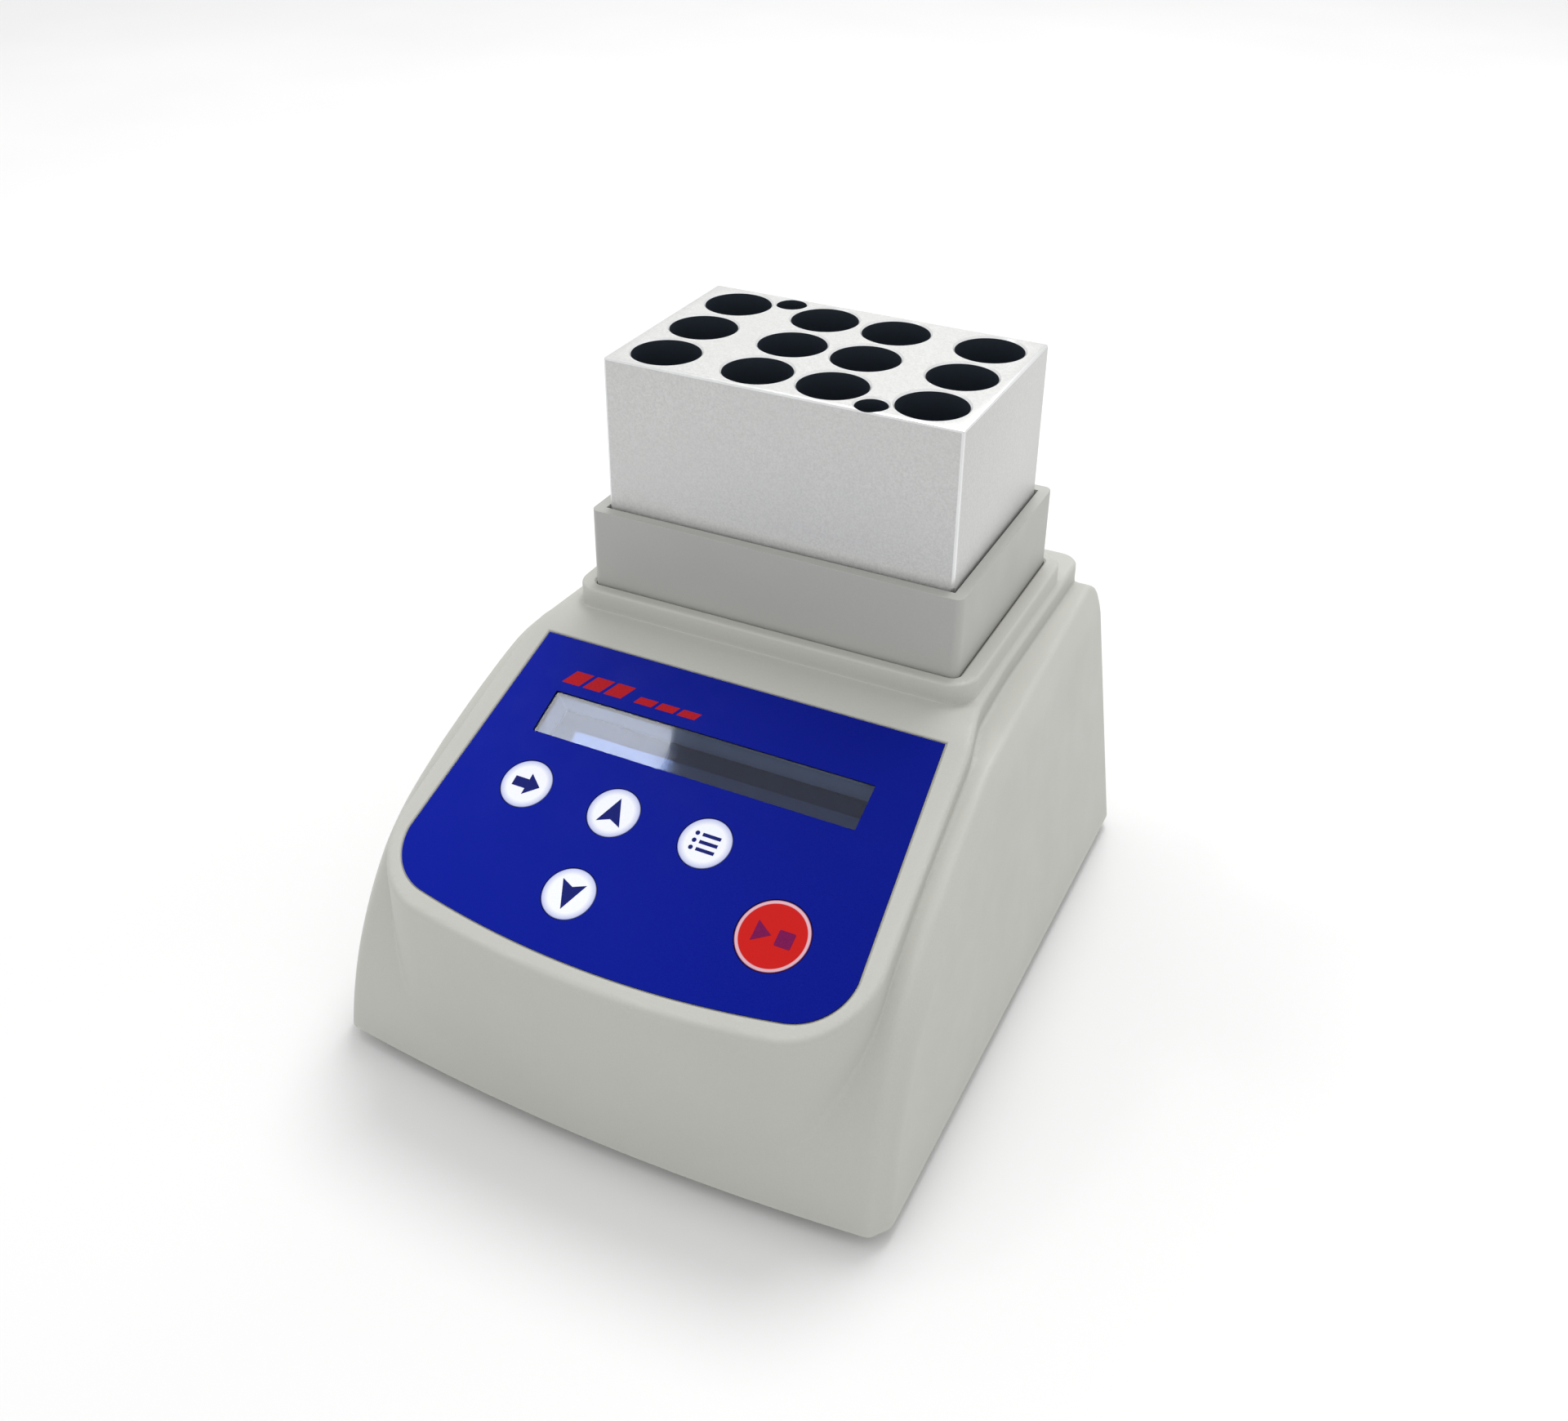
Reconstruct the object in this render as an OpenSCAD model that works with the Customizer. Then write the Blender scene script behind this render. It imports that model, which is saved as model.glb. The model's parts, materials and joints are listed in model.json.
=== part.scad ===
// Dry block heater: a sloped plastic housing with a control panel, a collar and a lift-out block.
// Origin at the middle of the footprint on the table, +X to the user's right, +Y to the back, +Z up.

/* [Housing] */
// Width across the foot of the housing
body_w = 110; // [106:1:135]
// Depth from the bowed front to the back
body_d = 131; // [128:1:160]
// Wall thickness of the housing
wall = 2.4; // [1.8:0.1:3]
// Height of the housing's lower edge above the table
foot_gap = 3; // [2:0.5:6]
// Height of the control panel's upper edge above the housing's lower edge
panel_rise = 59.7; // [56:0.1:66]
// Slope of the control panel
slope = 23.5; // [18:0.5:28]
// Radius of the arched front of the outer shell
arch_r = 63; // [56:1:70]
// How far the front bows out in the middle
bow = 3; // [1:0.5:5]
// Drop from the centre body's top to the ledge beside it
ledge_drop = 3; // [2:0.5:5]
// Width of the shell left on each side of the centre body at the front
ledge_w = 7.7; // [6:0.1:10]
// Radius of the centre body's front corners, seen from above
corner_r = 13; // [8:0.5:16]

/* [Collar and block] */
// Width of the heating block
block_w = 70; // [64:0.5:74]
// Depth of the heating block
block_d = 44; // [40:0.5:48]
// Height of the heating block
block_h = 58; // [50:1:66]
// Height of the block that stands above the collar
block_show = 30.5; // [20:0.5:40]
// Distance from the block's middle to the back of the housing
block_to_back = 36.5; // [34:0.5:40]
// Gap between block and collar
block_gap = 0.5; // [0.3:0.1:1]
// Wall of the collar
collar_wall = 2.2; // [1.6:0.1:3]
// Height of the collar above the plinth
collar_rise = 15.8; // [8:0.1:22]
// Height of the plinth above the centre body
plinth_h = 4.1; // [2:0.1:6]
// Plinth left around the collar
plinth_margin = 3.3; // [2:0.1:5]

/* [Wells] */
// Radius of a tube well
well_r = 6.55; // [5:0.05:7]
// Depth of a tube well
well_depth = 46; // [30:1:50]
// Distance between the two middle columns
inner_pitch = 14.85; // [14:0.05:16]
// Distance from a middle column to the outer one
outer_pitch = 18.75; // [16:0.05:20]
// Distance between rows
row_pitch = 14.25; // [13.5:0.05:14.5]
// Radius of the two small holes
tool_r = 3; // [2.5:0.1:3.2]
// Distance of the small holes from the block's middle line
tool_y = 18.9; // [17:0.1:19]

/* [Control panel] */
// Rim of the centre body around the panel film
rim = 4.5; // [3:0.1:6]
// Thickness of the panel film
film_t = 0.3; // [0.2:0.1:0.6]
// Width of the display window
window_w = 64.6; // [50:0.1:66]
// Height of the display window
window_h = 9.2; // [7:0.1:14]
// Distance from the panel's upper edge to the window's middle
window_v = 16.5; // [14:0.1:18]
// Depth of the display below the panel
display_depth = 7.3; // [5:0.1:8]
// Radius of the four white keys
key_r = 4.95; // [4:0.05:5.4]
// Radius of the start key
start_r = 6.6; // [5:0.1:7]
// How far a key travels
key_travel = 0.6; // [0.3:0.1:1]

/* [Screws] */
// Radius of the base screws' shanks
base_screw_r = 1.5; // [1.2:0.1:2]
// Radius of the small screws' shanks
small_screw_r = 1.1; // [0.9:0.1:1.4]

/* [Hidden] */
$fn = 48;
eps = 0.01;

// Places
rear_y = body_d / 2;
front_y = -body_d / 2;
base_z = foot_gap;
block_y = rear_y - block_to_back;
panel_to_block = 36.5;
panel_top_y = block_y - panel_to_block;
panel_top_z = base_z + panel_rise;

// Centre body: the slope runs into the flat top through an arc
blend_r = 17;
top_z = panel_top_z + blend_r * (1 - cos(slope));
top_y = panel_top_y + blend_r * sin(slope);
plinth_z = top_z + plinth_h;
collar_z = plinth_z + collar_rise;
block_top = collar_z + block_show;
block_bottom = block_top - block_h;

// Half widths of the centre body from front to back
half_front = body_w / 2 - ledge_w;
half_panel = body_w / 2 - ledge_w - 2;
half_plinth = body_w / 2 - ledge_w - 4.6;
half_rear = body_w / 2 - ledge_w - 5.3;
rear_corner = 3;
bow_r = 235;

// Outer shell: the arched front leans back from the foot and meets the ledge's slope
foot_lean = 5;
arch_y = front_y + bow + arch_r * cos(foot_lean);
arch_z = base_z - arch_r * sin(foot_lean);
ledge_z = top_z - ledge_drop;
front_draft = 0.06;
rear_draft = 0.14;
edge_in = 2.65;
edge_down = 3.6;
back_round = 4;

// Panel film, measured across (u) and down the slope (v) from the middle of its upper edge
panel_half = half_panel - rim;
panel_flare = 0.0665;
panel_l = (panel_top_y - front_y) / cos(slope) - 3.3;
panel_corner = 11;
panel_bow_r = 190;
film_gap = 0.15;
recess = film_t + 0.1;

// Keys: across, down, radius
KEYS = [[-27.5, 31.6, key_r], [-9.3, 31.7, key_r], [8.9, 31.8, key_r], [-9.2, 48.3, key_r],
    [27.2, 43.5, start_r]];
key_gap = 0.1;
stem_r = 1.75;
board_depth = 12;
board_t = 1.6;
switch_h = 3.6;
switch_w = 6;
key_body_t = 1.6;

// Collar
collar_w = block_w + 2 * (block_gap + collar_wall);
collar_d = block_d + 2 * (block_gap + collar_wall);
collar_low = block_bottom - 10;
flange_t = 2.5;
flange_z = ledge_z - wall - flange_t;
flange_d = 2 * (block_to_back - wall - 0.6);
flange_screw_x = 28;
flange_screw_y = 31;
fit_gap = 0.2;

// Heater stack, from the block down
plate_t = 8;
film_heat_t = 1.5;
pad_t = 9.9;
pad_gap = 0.1;
carrier_t = 2;
plate_z = block_bottom - plate_t;
heat_z = plate_z - film_heat_t;
pad_z = heat_z - pad_gap - pad_t;
carrier_z = pad_z - carrier_t;
sleeve_t = 2.2;
sleeve_gap = 0.5;
carrier_d = collar_d + 2 * (sleeve_gap + sleeve_t) + 2;
post_x = 30;
post_y = 17;
post_r = 3;
cutout_r = 8;
cutout_h = 6.5;
probe_r = 1.6;
probe_x = 24;

// Base plate and feet
plate_gap = 0.45;
base_t = 2;
base_top = base_z + base_t;
foot_r = 5;
stud_r = 2;
boss_r = 3.2;
head_h = 1.8;
head_r = 2.7;
small_head_r = 2.1;
small_head_h = 1.4;
flange_boss_gap = 1.5;
front_boss = [body_w / 2 - 14.5, front_y + 20.5];
rear_boss = [body_w / 2 - 11, rear_y - 8.5];
flange_w = 2 * (rear_boss[0] - boss_r - flange_boss_gap);
front_foot = [body_w / 2 - 15, front_y + 11];
rear_foot = [body_w / 2 - 17, rear_y - 17.5];
vent_w = 2.4;

// Boards
main_w = 70;
main_d = 46;
main_y = panel_top_y - 20.5;
main_z = base_top + 4;
main_top = main_z + board_t;
main_hole = [main_w / 2 - 4, main_d / 2 - 4];
control_w = 72;
control_l = 54;
control_v = 2;
control_hole_u = 32.5;
control_holes = [[control_hole_u, 5], [control_hole_u, control_v + control_l - 4]];
bezel_w = 71;
bezel_h = 17;
tunnel_wall = 1.4;
ribbon_w = 14;
ribbon_t = 1;
ribbon_v = 26;
header_h = 6;

// Back: a pocket holds the power socket and the rocker switch
pocket_w = 74;
pocket_h = 24;
pocket_depth = 4.5;
pocket_z = base_z + 17;
pocket_y = rear_y - pocket_depth;
socket_x = -20;
socket_r = 5.6;
socket_bore = 3.2;
pin_r = 1;
switch_x = 17;
rocker_w = 10.6;
rocker_h = 17.4;
rocker_tilt = 8;
switch_wall = 1.4;
pivot_depth = 1.5;

// Points on an arc about c, from angle a to angle b
function arc(c, r, a, b, n) =
    [for (i = [0 : n]) c + r * [cos(a + (b - a) * i / n), sin(a + (b - a) * i / n)]];

// Right half mirrored to the left, in order around the outline
function both_sides(right) =
    concat(right, [for (i = [len(right) - 1 : -1 : 0]) [-right[i][0], right[i][1]]]);

// Height of the panel plane, and of the ledge, over a point y
function roof_z(y) = y < panel_top_y ? panel_top_z + (y - panel_top_y) * tan(slope) : top_z;
function ledge_at(y) = roof_z(y) - ledge_drop;

// Half width of the shell's side at a place
function side_x(y, z) =
    body_w / 2 - (z - base_z) * (front_draft + (rear_draft - front_draft)
    * min(1, max(0, (y - front_y - 35) / (body_d - 35))));

// Turns a child onto the panel at u, v and a depth d below it
module on_panel(u = 0, v = 0, d = 0)
    translate([0, panel_top_y, panel_top_z]) rotate([slope, 0, 0]) translate([u, -v, -d]) children();

module four(x, y) for (sx = [-1, 1], sy = [-1, 1]) translate([sx * x, sy * y, 0]) children();
module pair_at(p) for (s = [-1, 1]) translate([s * p[0], p[1], 0]) children();

// A slab with round corners, centred in X and Y
module rounded_slab(w, d, h, r) {
    cube_w = w - 2 * r;
    translate([-cube_w / 2, -d / 2, 0]) cube([cube_w, d, h]);
    translate([-w / 2, -d / 2 + r, 0]) cube([w, d - 2 * r, h]);
    four(cube_w / 2, d / 2 - r) cylinder(r = r, h = h);
}

module slab(w, d, h) translate([-w / 2, -d / 2, 0]) cube([w, d, h]);

// Outline of the foot of the housing, g inside its outer face
function foot_outline(g) =
    let (edge = norm([edge_in, edge_down]),
        x1 = body_w / 2 - edge_in - g * (1 - edge_in / edge) / (edge_down / edge),
        y1 = front_y + bow + g,
        y2 = front_y + bow + edge_down + g,
        r = rear_corner,
        x2 = body_w / 2 - g, y3 = rear_y - g)
    both_sides(concat(
        [for (i = [0 : 6]) [x1 * i / 6, y1 - bow * (1 - pow(i / 6, 2))]],
        [[x2, y2]],
        arc([x2 - r, y3 - r], r, 0, 90, 5)));

// Corner points of the shell's two upper edges on one side, g inside its outer face
function arch_end() =
    let (dy = panel_top_y - arch_y, dz = ledge_at(panel_top_y - eps) - arch_z,
        reach = dz * cos(slope) - dy * sin(slope))
    asin(min(0.999, reach / arch_r)) - slope;

function arch_point(a, r) = [arch_y - r * cos(a), arch_z + r * sin(a)];

function shell_ribs(g, low) =
    let (a0 = asin((low - arch_z) / (arch_r - g)), a1 = arch_end(), n = 10)
    [for (i = [0 : n]) let (a = a0 + (a1 - a0) * i / n, p = arch_point(a, arch_r - g),
            q = arch_point(a, arch_r - g - edge_down), z = max(low, q[1]))
        each [[side_x(p[0], p[1]) - edge_in - g * 0.5, p[0], p[1]],
            [side_x(q[0], z) - g, q[0], z]]];

function ledge_ribs(g) =
    [for (y = [panel_top_y, top_y, rear_y - back_round - g])
        let (z = y < top_y ? ledge_at(y - eps) - g : ledge_z - g)
        each [[side_x(y, z) - edge_in * 0.7 - g * 0.5, y, z], [side_x(y, z - 5) - g, y, z - 5]]];

function back_ribs(g, low) =
    [for (z = [low, ledge_z - 5 - g])
        let (x = side_x(rear_y, z) - g, r = rear_corner - g * 0.5, y = rear_y - g)
        each [[x, y - r, z], [x - 0.3 * r, y - 0.3 * r, z], [x - r, y, z]]];

function bow_ribs(g, low) =
    let (a0 = asin((low - arch_z) / (arch_r - g)))
    [for (i = [0 : 7]) let (a = a0 + (34 - a0) * i / 7, p = arch_point(a, arch_r - g),
            x = side_x(p[0], p[1]) - edge_in - g * 0.5)
        for (k = [0 : 4]) [x * k / 5, p[0] - bow * (1 - pow(k / 5, 2)), p[1]]];

// The outer shell, g inside its outer face, down to the height low
module shell_form(g, low) {
    right = concat(shell_ribs(g, low), ledge_ribs(g), back_ribs(g, low), bow_ribs(g, low));
    all = concat(right, [for (p = right) [-p[0], p[1], p[2]]]);
    count = floor(len(all) / 3) * 3;
    hull() polyhedron(points = all, faces = concat([for (i = [0 : 3 : count - 3]) [i, i + 1, i + 2]],
        [[len(all) - 3, len(all) - 2, len(all) - 1]]));
}

// Outline of the centre body seen from above
function centre_outline(g) =
    let (r = corner_r - g, cx = half_front - corner_r, reach = asin(cx / (bow_r - corner_r)),
        cy = front_y + bow_r - (bow_r - corner_r) * cos(reach) + 0.2,
        rr = 6 - g * 0.5)
    both_sides(concat(
        arc([0, front_y + 0.2 + bow_r], bow_r - g, -90, -90 + reach, 6),
        arc([cx, cy], r, -90 + reach, 0, 12),
        [[half_panel - g, panel_top_y], [half_plinth - g, panel_top_y + 11],
            [half_rear - g, panel_top_y + 27]],
        arc([half_rear - g - rr, rear_y - g - rr], rr, 0, 90, 6)));

// Outline of the centre body seen from the side: the panel's slope, the blend and the flat top
function centre_profile(g, low) = concat(
    [[front_y - 20, low], [front_y - 20, roof_z(front_y - 20) - g / cos(slope)]],
    arc([top_y, top_z - blend_r], blend_r - g, 90 + slope, 90, 6),
    [[rear_y + 20, top_z - g], [rear_y + 20, low]]);

module centre_form(g, low) intersection() {
    translate([0, 0, low]) linear_extrude(top_z + 20) polygon(centre_outline(g));
    rotate([90, 0, 90]) translate([0, 0, -body_w / 2]) linear_extrude(body_w)
        polygon(centre_profile(g, low));
}

// Outline of the panel film, g inside its edge
function film_outline(g) =
    let (vc = panel_l - 14, side = panel_half + panel_flare * vc, r = panel_corner,
        cx = side - r, tilt = asin(cx / (panel_bow_r - r)),
        cv = -panel_l + panel_bow_r - (panel_bow_r - r) * cos(tilt))
    both_sides(concat(
        arc([0, -panel_l + panel_bow_r], panel_bow_r - g, -90, -90 + tilt, 6),
        arc([cx, cv], r - g, -90 + tilt, -2, 12),
        [[panel_half - g, -g]]));

module film_form(g, t) linear_extrude(t) polygon(film_outline(g));

module window_cut(grow, d0, d1)
    on_panel(0, window_v, d1) slab(window_w + 2 * grow, window_h + 2 * grow, d1 - d0);

// --- Housing ---

module upper_housing() color([0.80, 0.80, 0.78]) difference() {
    union() {
        difference() {
            union() {
                shell_form(0, base_z);
                centre_form(0, base_z);
                translate([0, block_y, top_z - eps])
                    rounded_slab(collar_w + 2 * plinth_margin, collar_d + 2 * plinth_margin - 1,
                        plinth_h + eps, 5);
            }
            shell_form(wall, base_z - 1);
            centre_form(wall, base_z - 1);
        }
        pair_at(front_boss) translate([0, 0, base_top])
            cylinder(r = boss_r, h = roof_z(front_boss[1]) - 1.5 - base_top);
        pair_at(rear_boss) translate([0, 0, base_top])
            cylinder(r = boss_r, h = ledge_z - 5 - base_top);
        translate([0, block_y, flange_z + flange_t]) four(flange_screw_x, flange_screw_y)
            cylinder(r = 2.9, h = top_z - 1 - flange_z - flange_t);
        for (p = control_holes, s = [-1, 1]) on_panel(s * p[0], p[1], board_depth)
            cylinder(r = 2.6, h = board_depth - 1);
        window_cut(tunnel_wall, recess + 0.2, display_depth - 0.2);
        translate([0, pocket_y - wall, pocket_z]) rotate([-90, 0, 0])
            slab(pocket_w + 2 * wall, pocket_h + 2 * wall, pocket_depth + wall - 0.5);
    }
    translate([0, block_y, flange_z + flange_t])
        slab(collar_w + 2 * fit_gap, collar_d + 2 * fit_gap, 30);
    on_panel(0, 0, recess) film_form(0, 5);
    window_cut(0, -1, display_depth + 1);
    window_cut(1.2, -1, recess + 1);
    for (k = KEYS) on_panel(k[0], k[1], wall + 3) cylinder(r = k[2] + 0.3, h = wall + 4);
    for (p = control_holes, s = [-1, 1]) on_panel(s * p[0], p[1], board_depth + 1)
        cylinder(r = small_screw_r + 0.05, h = 8);
    pair_at(front_boss) translate([0, 0, base_top - 1]) cylinder(r = base_screw_r + 0.05, h = 13);
    pair_at(rear_boss) translate([0, 0, base_top - 1]) cylinder(r = base_screw_r + 0.05, h = 13);
    translate([0, block_y, flange_z]) four(flange_screw_x, flange_screw_y)
        cylinder(r = small_screw_r + 0.05, h = flange_t + 4);
    translate([0, pocket_y, pocket_z]) rotate([-90, 0, 0]) slab(pocket_w, pocket_h, 20);
    translate([socket_x, pocket_y - wall - 1, pocket_z]) rotate([-90, 0, 0])
        cylinder(r = socket_r - 0.9, h = wall + 2);
    translate([switch_x, pocket_y - wall - 1, pocket_z]) rotate([-90, 0, 0])
        slab(rocker_w + 2 * switch_wall + 0.4, rocker_h + 2 * switch_wall + 0.4, wall + 2);
}

module base_plate() color([0.72, 0.72, 0.70]) difference() {
    union() {
        translate([0, 0, base_z]) linear_extrude(base_t) polygon(foot_outline(wall + plate_gap));
        translate([0, main_y, base_top - eps]) four(main_hole[0], main_hole[1])
            cylinder(r = 3, h = main_z - base_top + eps);
    }
    pair_at(front_boss) translate([0, 0, 0]) cylinder(r = base_screw_r + 0.3, h = 20);
    pair_at(rear_boss) translate([0, 0, 0]) cylinder(r = base_screw_r + 0.3, h = 20);
    pair_at(front_foot) cylinder(r = stud_r + 0.1, h = 20);
    pair_at(rear_foot) cylinder(r = stud_r + 0.1, h = 20);
    translate([0, block_y, 0]) four(post_x, post_y) cylinder(r = small_screw_r + 0.3, h = 20);
    translate([0, main_y, base_z + 1]) four(main_hole[0], main_hole[1])
        cylinder(r = small_screw_r + 0.05, h = 20);
    for (i = [-4 : 4]) translate([i * 5, block_y, 0]) slab(vent_w, 24, 20);
}

module rubber_feet() color([0.10, 0.10, 0.11]) for (p = [front_foot, rear_foot]) pair_at(p) {
    cylinder(r1 = foot_r - 0.6, r2 = foot_r, h = foot_gap);
    translate([0, 0, foot_gap - eps]) cylinder(r = stud_r, h = base_t + 0.6);
    translate([0, 0, base_top + 0.1]) cylinder(r1 = stud_r + 0.7, r2 = stud_r - 0.4, h = 2);
}

// A pan-head screw with its head at z = 0 and its shank upwards
module screw(r, length, top_r, top_h) difference() {
    union() {
        cylinder(r = r, h = length);
        translate([0, 0, -top_h]) cylinder(r1 = top_r - 0.5, r2 = top_r, h = top_h);
    }
    translate([0, 0, -top_h - eps]) for (a = [0, 90]) rotate(a)
        slab(top_r * 1.1, top_r * 0.28, top_h * 0.55);
}

module base_screws() color([0.62, 0.63, 0.65])
    for (p = [front_boss, rear_boss]) pair_at(p) translate([0, 0, base_z])
        screw(base_screw_r, 11, head_r, head_h);

// --- Collar and block ---

module collar() color([0.70, 0.71, 0.69]) translate([0, block_y, 0]) difference() {
    union() {
        translate([0, 0, collar_low]) rounded_slab(collar_w, collar_d, collar_z - collar_low, 1.5);
        translate([0, 0, flange_z]) rounded_slab(flange_w, flange_d, flange_t, 6.5);
    }
    translate([0, 0, collar_low - 1]) slab(block_w + 2 * block_gap, block_d + 2 * block_gap, 100);
    translate([0, 0, flange_z - 1]) four(flange_screw_x, flange_screw_y)
        cylinder(r = small_screw_r + 0.25, h = flange_t + 2);
}

module collar_screws() color([0.62, 0.63, 0.65]) translate([0, block_y, flange_z])
    four(flange_screw_x, flange_screw_y) screw(small_screw_r, flange_t + 3.5, small_head_r, small_head_h);

column_x = [-inner_pitch / 2 - outer_pitch, -inner_pitch / 2, inner_pitch / 2,
    inner_pitch / 2 + outer_pitch];
tool_x = (inner_pitch + outer_pitch) / 2;

module heating_block() color([0.80, 0.81, 0.82]) translate([0, block_y, 0]) difference() {
    translate([0, 0, block_bottom]) slab(block_w, block_d, block_h);
    for (x = column_x, r = [-1 : 1]) translate([x, r * row_pitch, block_top - well_depth]) {
        cylinder(r = well_r, h = well_depth + 1);
        translate([0, 0, -3 + eps]) cylinder(r1 = 2, r2 = well_r, h = 3);
        translate([0, 0, well_depth - 0.35]) cylinder(r1 = well_r, r2 = well_r + 0.4, h = 0.4);
    }
    for (s = [-1, 1]) translate([s * tool_x, -s * tool_y, block_top - 22]) cylinder(r = tool_r, h = 30);
}

module heater_plate() color([0.74, 0.75, 0.76]) translate([0, block_y, plate_z]) difference() {
    slab(block_w, block_d, plate_t);
    translate([probe_x, 0, -1]) cylinder(r = probe_r, h = plate_t - 1.5);
}

module heating_film() color([0.78, 0.30, 0.16]) translate([0, block_y, heat_z]) difference() {
    slab(block_w - 2, block_d - 2, film_heat_t);
    translate([probe_x, 0, -1]) cylinder(r = probe_r, h = 9);
}

module insulation_pad() color([0.90, 0.88, 0.80]) translate([0, block_y, pad_z]) difference() {
    slab(block_w, block_d, pad_t);
    four(post_x, post_y) translate([0, 0, -1]) cylinder(r = small_head_r + 0.3, h = 2);
    translate([0, 0, -1]) cylinder(r = cutout_r + 0.3, h = pad_t + 2);
    translate([probe_x, 0, -1]) cylinder(r = probe_r + 0.3, h = pad_t + 2);
}

module insulation_sleeve() color([0.88, 0.86, 0.80])
    translate([0, block_y, carrier_z + carrier_t]) difference() {
        inner_w = collar_w + 2 * sleeve_gap;
        inner_d = collar_d + 2 * sleeve_gap;
        sleeve_h = flange_z - small_head_h - 1 - carrier_z - carrier_t;
        slab(inner_w + 2 * sleeve_t, inner_d + 2 * sleeve_t, sleeve_h);
        translate([0, 0, -1]) slab(inner_w, inner_d, sleeve_h + 2);
    }

module heater_carrier() color([0.60, 0.61, 0.63]) translate([0, block_y, carrier_z]) difference() {
    slab(flange_w, carrier_d, carrier_t);
    translate([0, 0, -1]) four(post_x, post_y) cylinder(r = small_screw_r + 0.2, h = carrier_t + 2);
    translate([0, 0, -1]) cylinder(r = cutout_r + 1, h = carrier_t + 2);
    translate([probe_x, 0, -1]) cylinder(r = probe_r + 0.3, h = carrier_t + 2);
}

module carrier_posts() color([0.76, 0.68, 0.42]) translate([0, block_y, base_top])
    four(post_x, post_y) difference() {
        cylinder(r = post_r, h = carrier_z - base_top);
        translate([0, 0, -1]) cylinder(r = small_screw_r + 0.05, h = 9);
        translate([0, 0, carrier_z - base_top - 8]) cylinder(r = small_screw_r + 0.05, h = 9);
    }

module carrier_screws() color([0.62, 0.63, 0.65]) translate([0, block_y, 0])
    four(post_x, post_y) {
        translate([0, 0, base_z]) screw(small_screw_r, base_t + 5, small_head_r, small_head_h);
        translate([0, 0, carrier_z + carrier_t]) mirror([0, 0, 1])
            screw(small_screw_r, carrier_t + 5, 2, 0.5);
    }

module temperature_probe() color([0.78, 0.79, 0.80]) translate([probe_x, block_y, carrier_z - 3])
    cylinder(r = probe_r - 0.1, h = plate_z + plate_t - 3 - carrier_z + 3);

module thermal_cutout() color([0.20, 0.20, 0.22]) translate([0, block_y, heat_z - 0.1 - cutout_h]) {
    cylinder(r = cutout_r, h = cutout_h);
    for (s = [-1, 1]) translate([s * 4, 0, -6]) slab(0.8, 4, 6 + eps);
}

// --- Control panel ---

module panel_film() color([0.06, 0.14, 0.55]) difference() {
    on_panel(0, 0, recess) film_form(film_gap, film_t);
    window_cut(0, -1, 2);
    for (k = KEYS) on_panel(k[0], k[1], 2) cylinder(r = k[2], h = 4);
}

module display_window() color([0.75, 0.80, 0.85, 0.4])
    window_cut(1, recess, recess + 1);

module display_bezel() color([0.55, 0.56, 0.56]) difference() {
    on_panel(0, window_v, board_depth) slab(bezel_w, bezel_h, board_depth - display_depth);
    on_panel(0, window_v, board_depth - 1.2) slab(window_w + 1, window_h + 1.6, 8);
}

module display_glass() color([0.16, 0.19, 0.28])
    on_panel(0, window_v, board_depth - 1.2) slab(window_w + 0.6, window_h + 1.2, 3.4);

module control_board() color([0.10, 0.35, 0.18]) difference() {
    on_panel(0, control_v + control_l / 2, board_depth + board_t) slab(control_w, control_l, board_t);
    for (p = control_holes, s = [-1, 1]) on_panel(s * p[0], p[1], board_depth + board_t + 1)
        cylinder(r = small_screw_r + 0.2, h = board_t + 2);
}

module control_board_screws() color([0.62, 0.63, 0.65])
    for (p = control_holes, s = [-1, 1]) on_panel(s * p[0], p[1], board_depth + board_t)
        screw(small_screw_r, board_t + 5, small_head_r, small_head_h);

module tact_switches() color([0.16, 0.16, 0.17]) for (k = KEYS)
    on_panel(k[0], k[1], board_depth) difference() {
        slab(switch_w, switch_w, switch_h);
        translate([0, 0, 0.8]) cylinder(r = stem_r + 0.1, h = switch_h);
    }

// A key: a cap flush with the film, in the housing's hole, and a stem into its switch
module key_form(k) on_panel(k[0], k[1], 0) {
    stem_end = board_depth - switch_h + 2 * key_travel;
    translate([0, 0, -recess - key_body_t]) cylinder(r = k[2] - key_gap, h = key_body_t + film_t);
    translate([0, 0, -stem_end]) cylinder(r = stem_r, h = stem_end - recess - key_body_t + eps);
}

module key_next() color([0.93, 0.94, 0.97]) key_form(KEYS[0]);
module key_up() color([0.93, 0.94, 0.97]) key_form(KEYS[1]);
module key_program() color([0.93, 0.94, 0.97]) key_form(KEYS[2]);
module key_down() color([0.93, 0.94, 0.97]) key_form(KEYS[3]);
module key_start() color([0.80, 0.12, 0.10]) key_form(KEYS[4]);

// --- Boards and wiring ---

// The ribbon leaves the control board's lower face and drops to the main board
ribbon_y = panel_top_y - ribbon_v * cos(slope) + (board_depth + board_t + header_h) * sin(slope);
ribbon_top = panel_top_z - ribbon_v * sin(slope) - (board_depth + board_t + header_h) * cos(slope);
ribbon_low = main_top + header_h;

module ribbon_headers() color([0.92, 0.91, 0.86]) {
    on_panel(0, ribbon_v, board_depth + board_t + header_h) slab(ribbon_w + 3, 5, header_h);
    translate([0, ribbon_y, main_top]) slab(ribbon_w + 3, 5, header_h);
}

function ribbon_side(s, n) = [for (i = [0 : n]) let (t = i / n)
    [ribbon_y + 2.2 * sin(180 * t) * sin(180 * t) + s * ribbon_t / 2,
        ribbon_low + (ribbon_top - ribbon_low + s * ribbon_t / 2 * tan(slope)) * t]];

module ribbon_cable() color([0.62, 0.64, 0.68]) translate([-ribbon_w / 2, 0, 0])
    rotate([90, 0, 90]) linear_extrude(ribbon_w)
        polygon(concat(ribbon_side(-1, 12), [for (i = [12 : -1 : 0]) ribbon_side(1, 12)[i]]));

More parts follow.
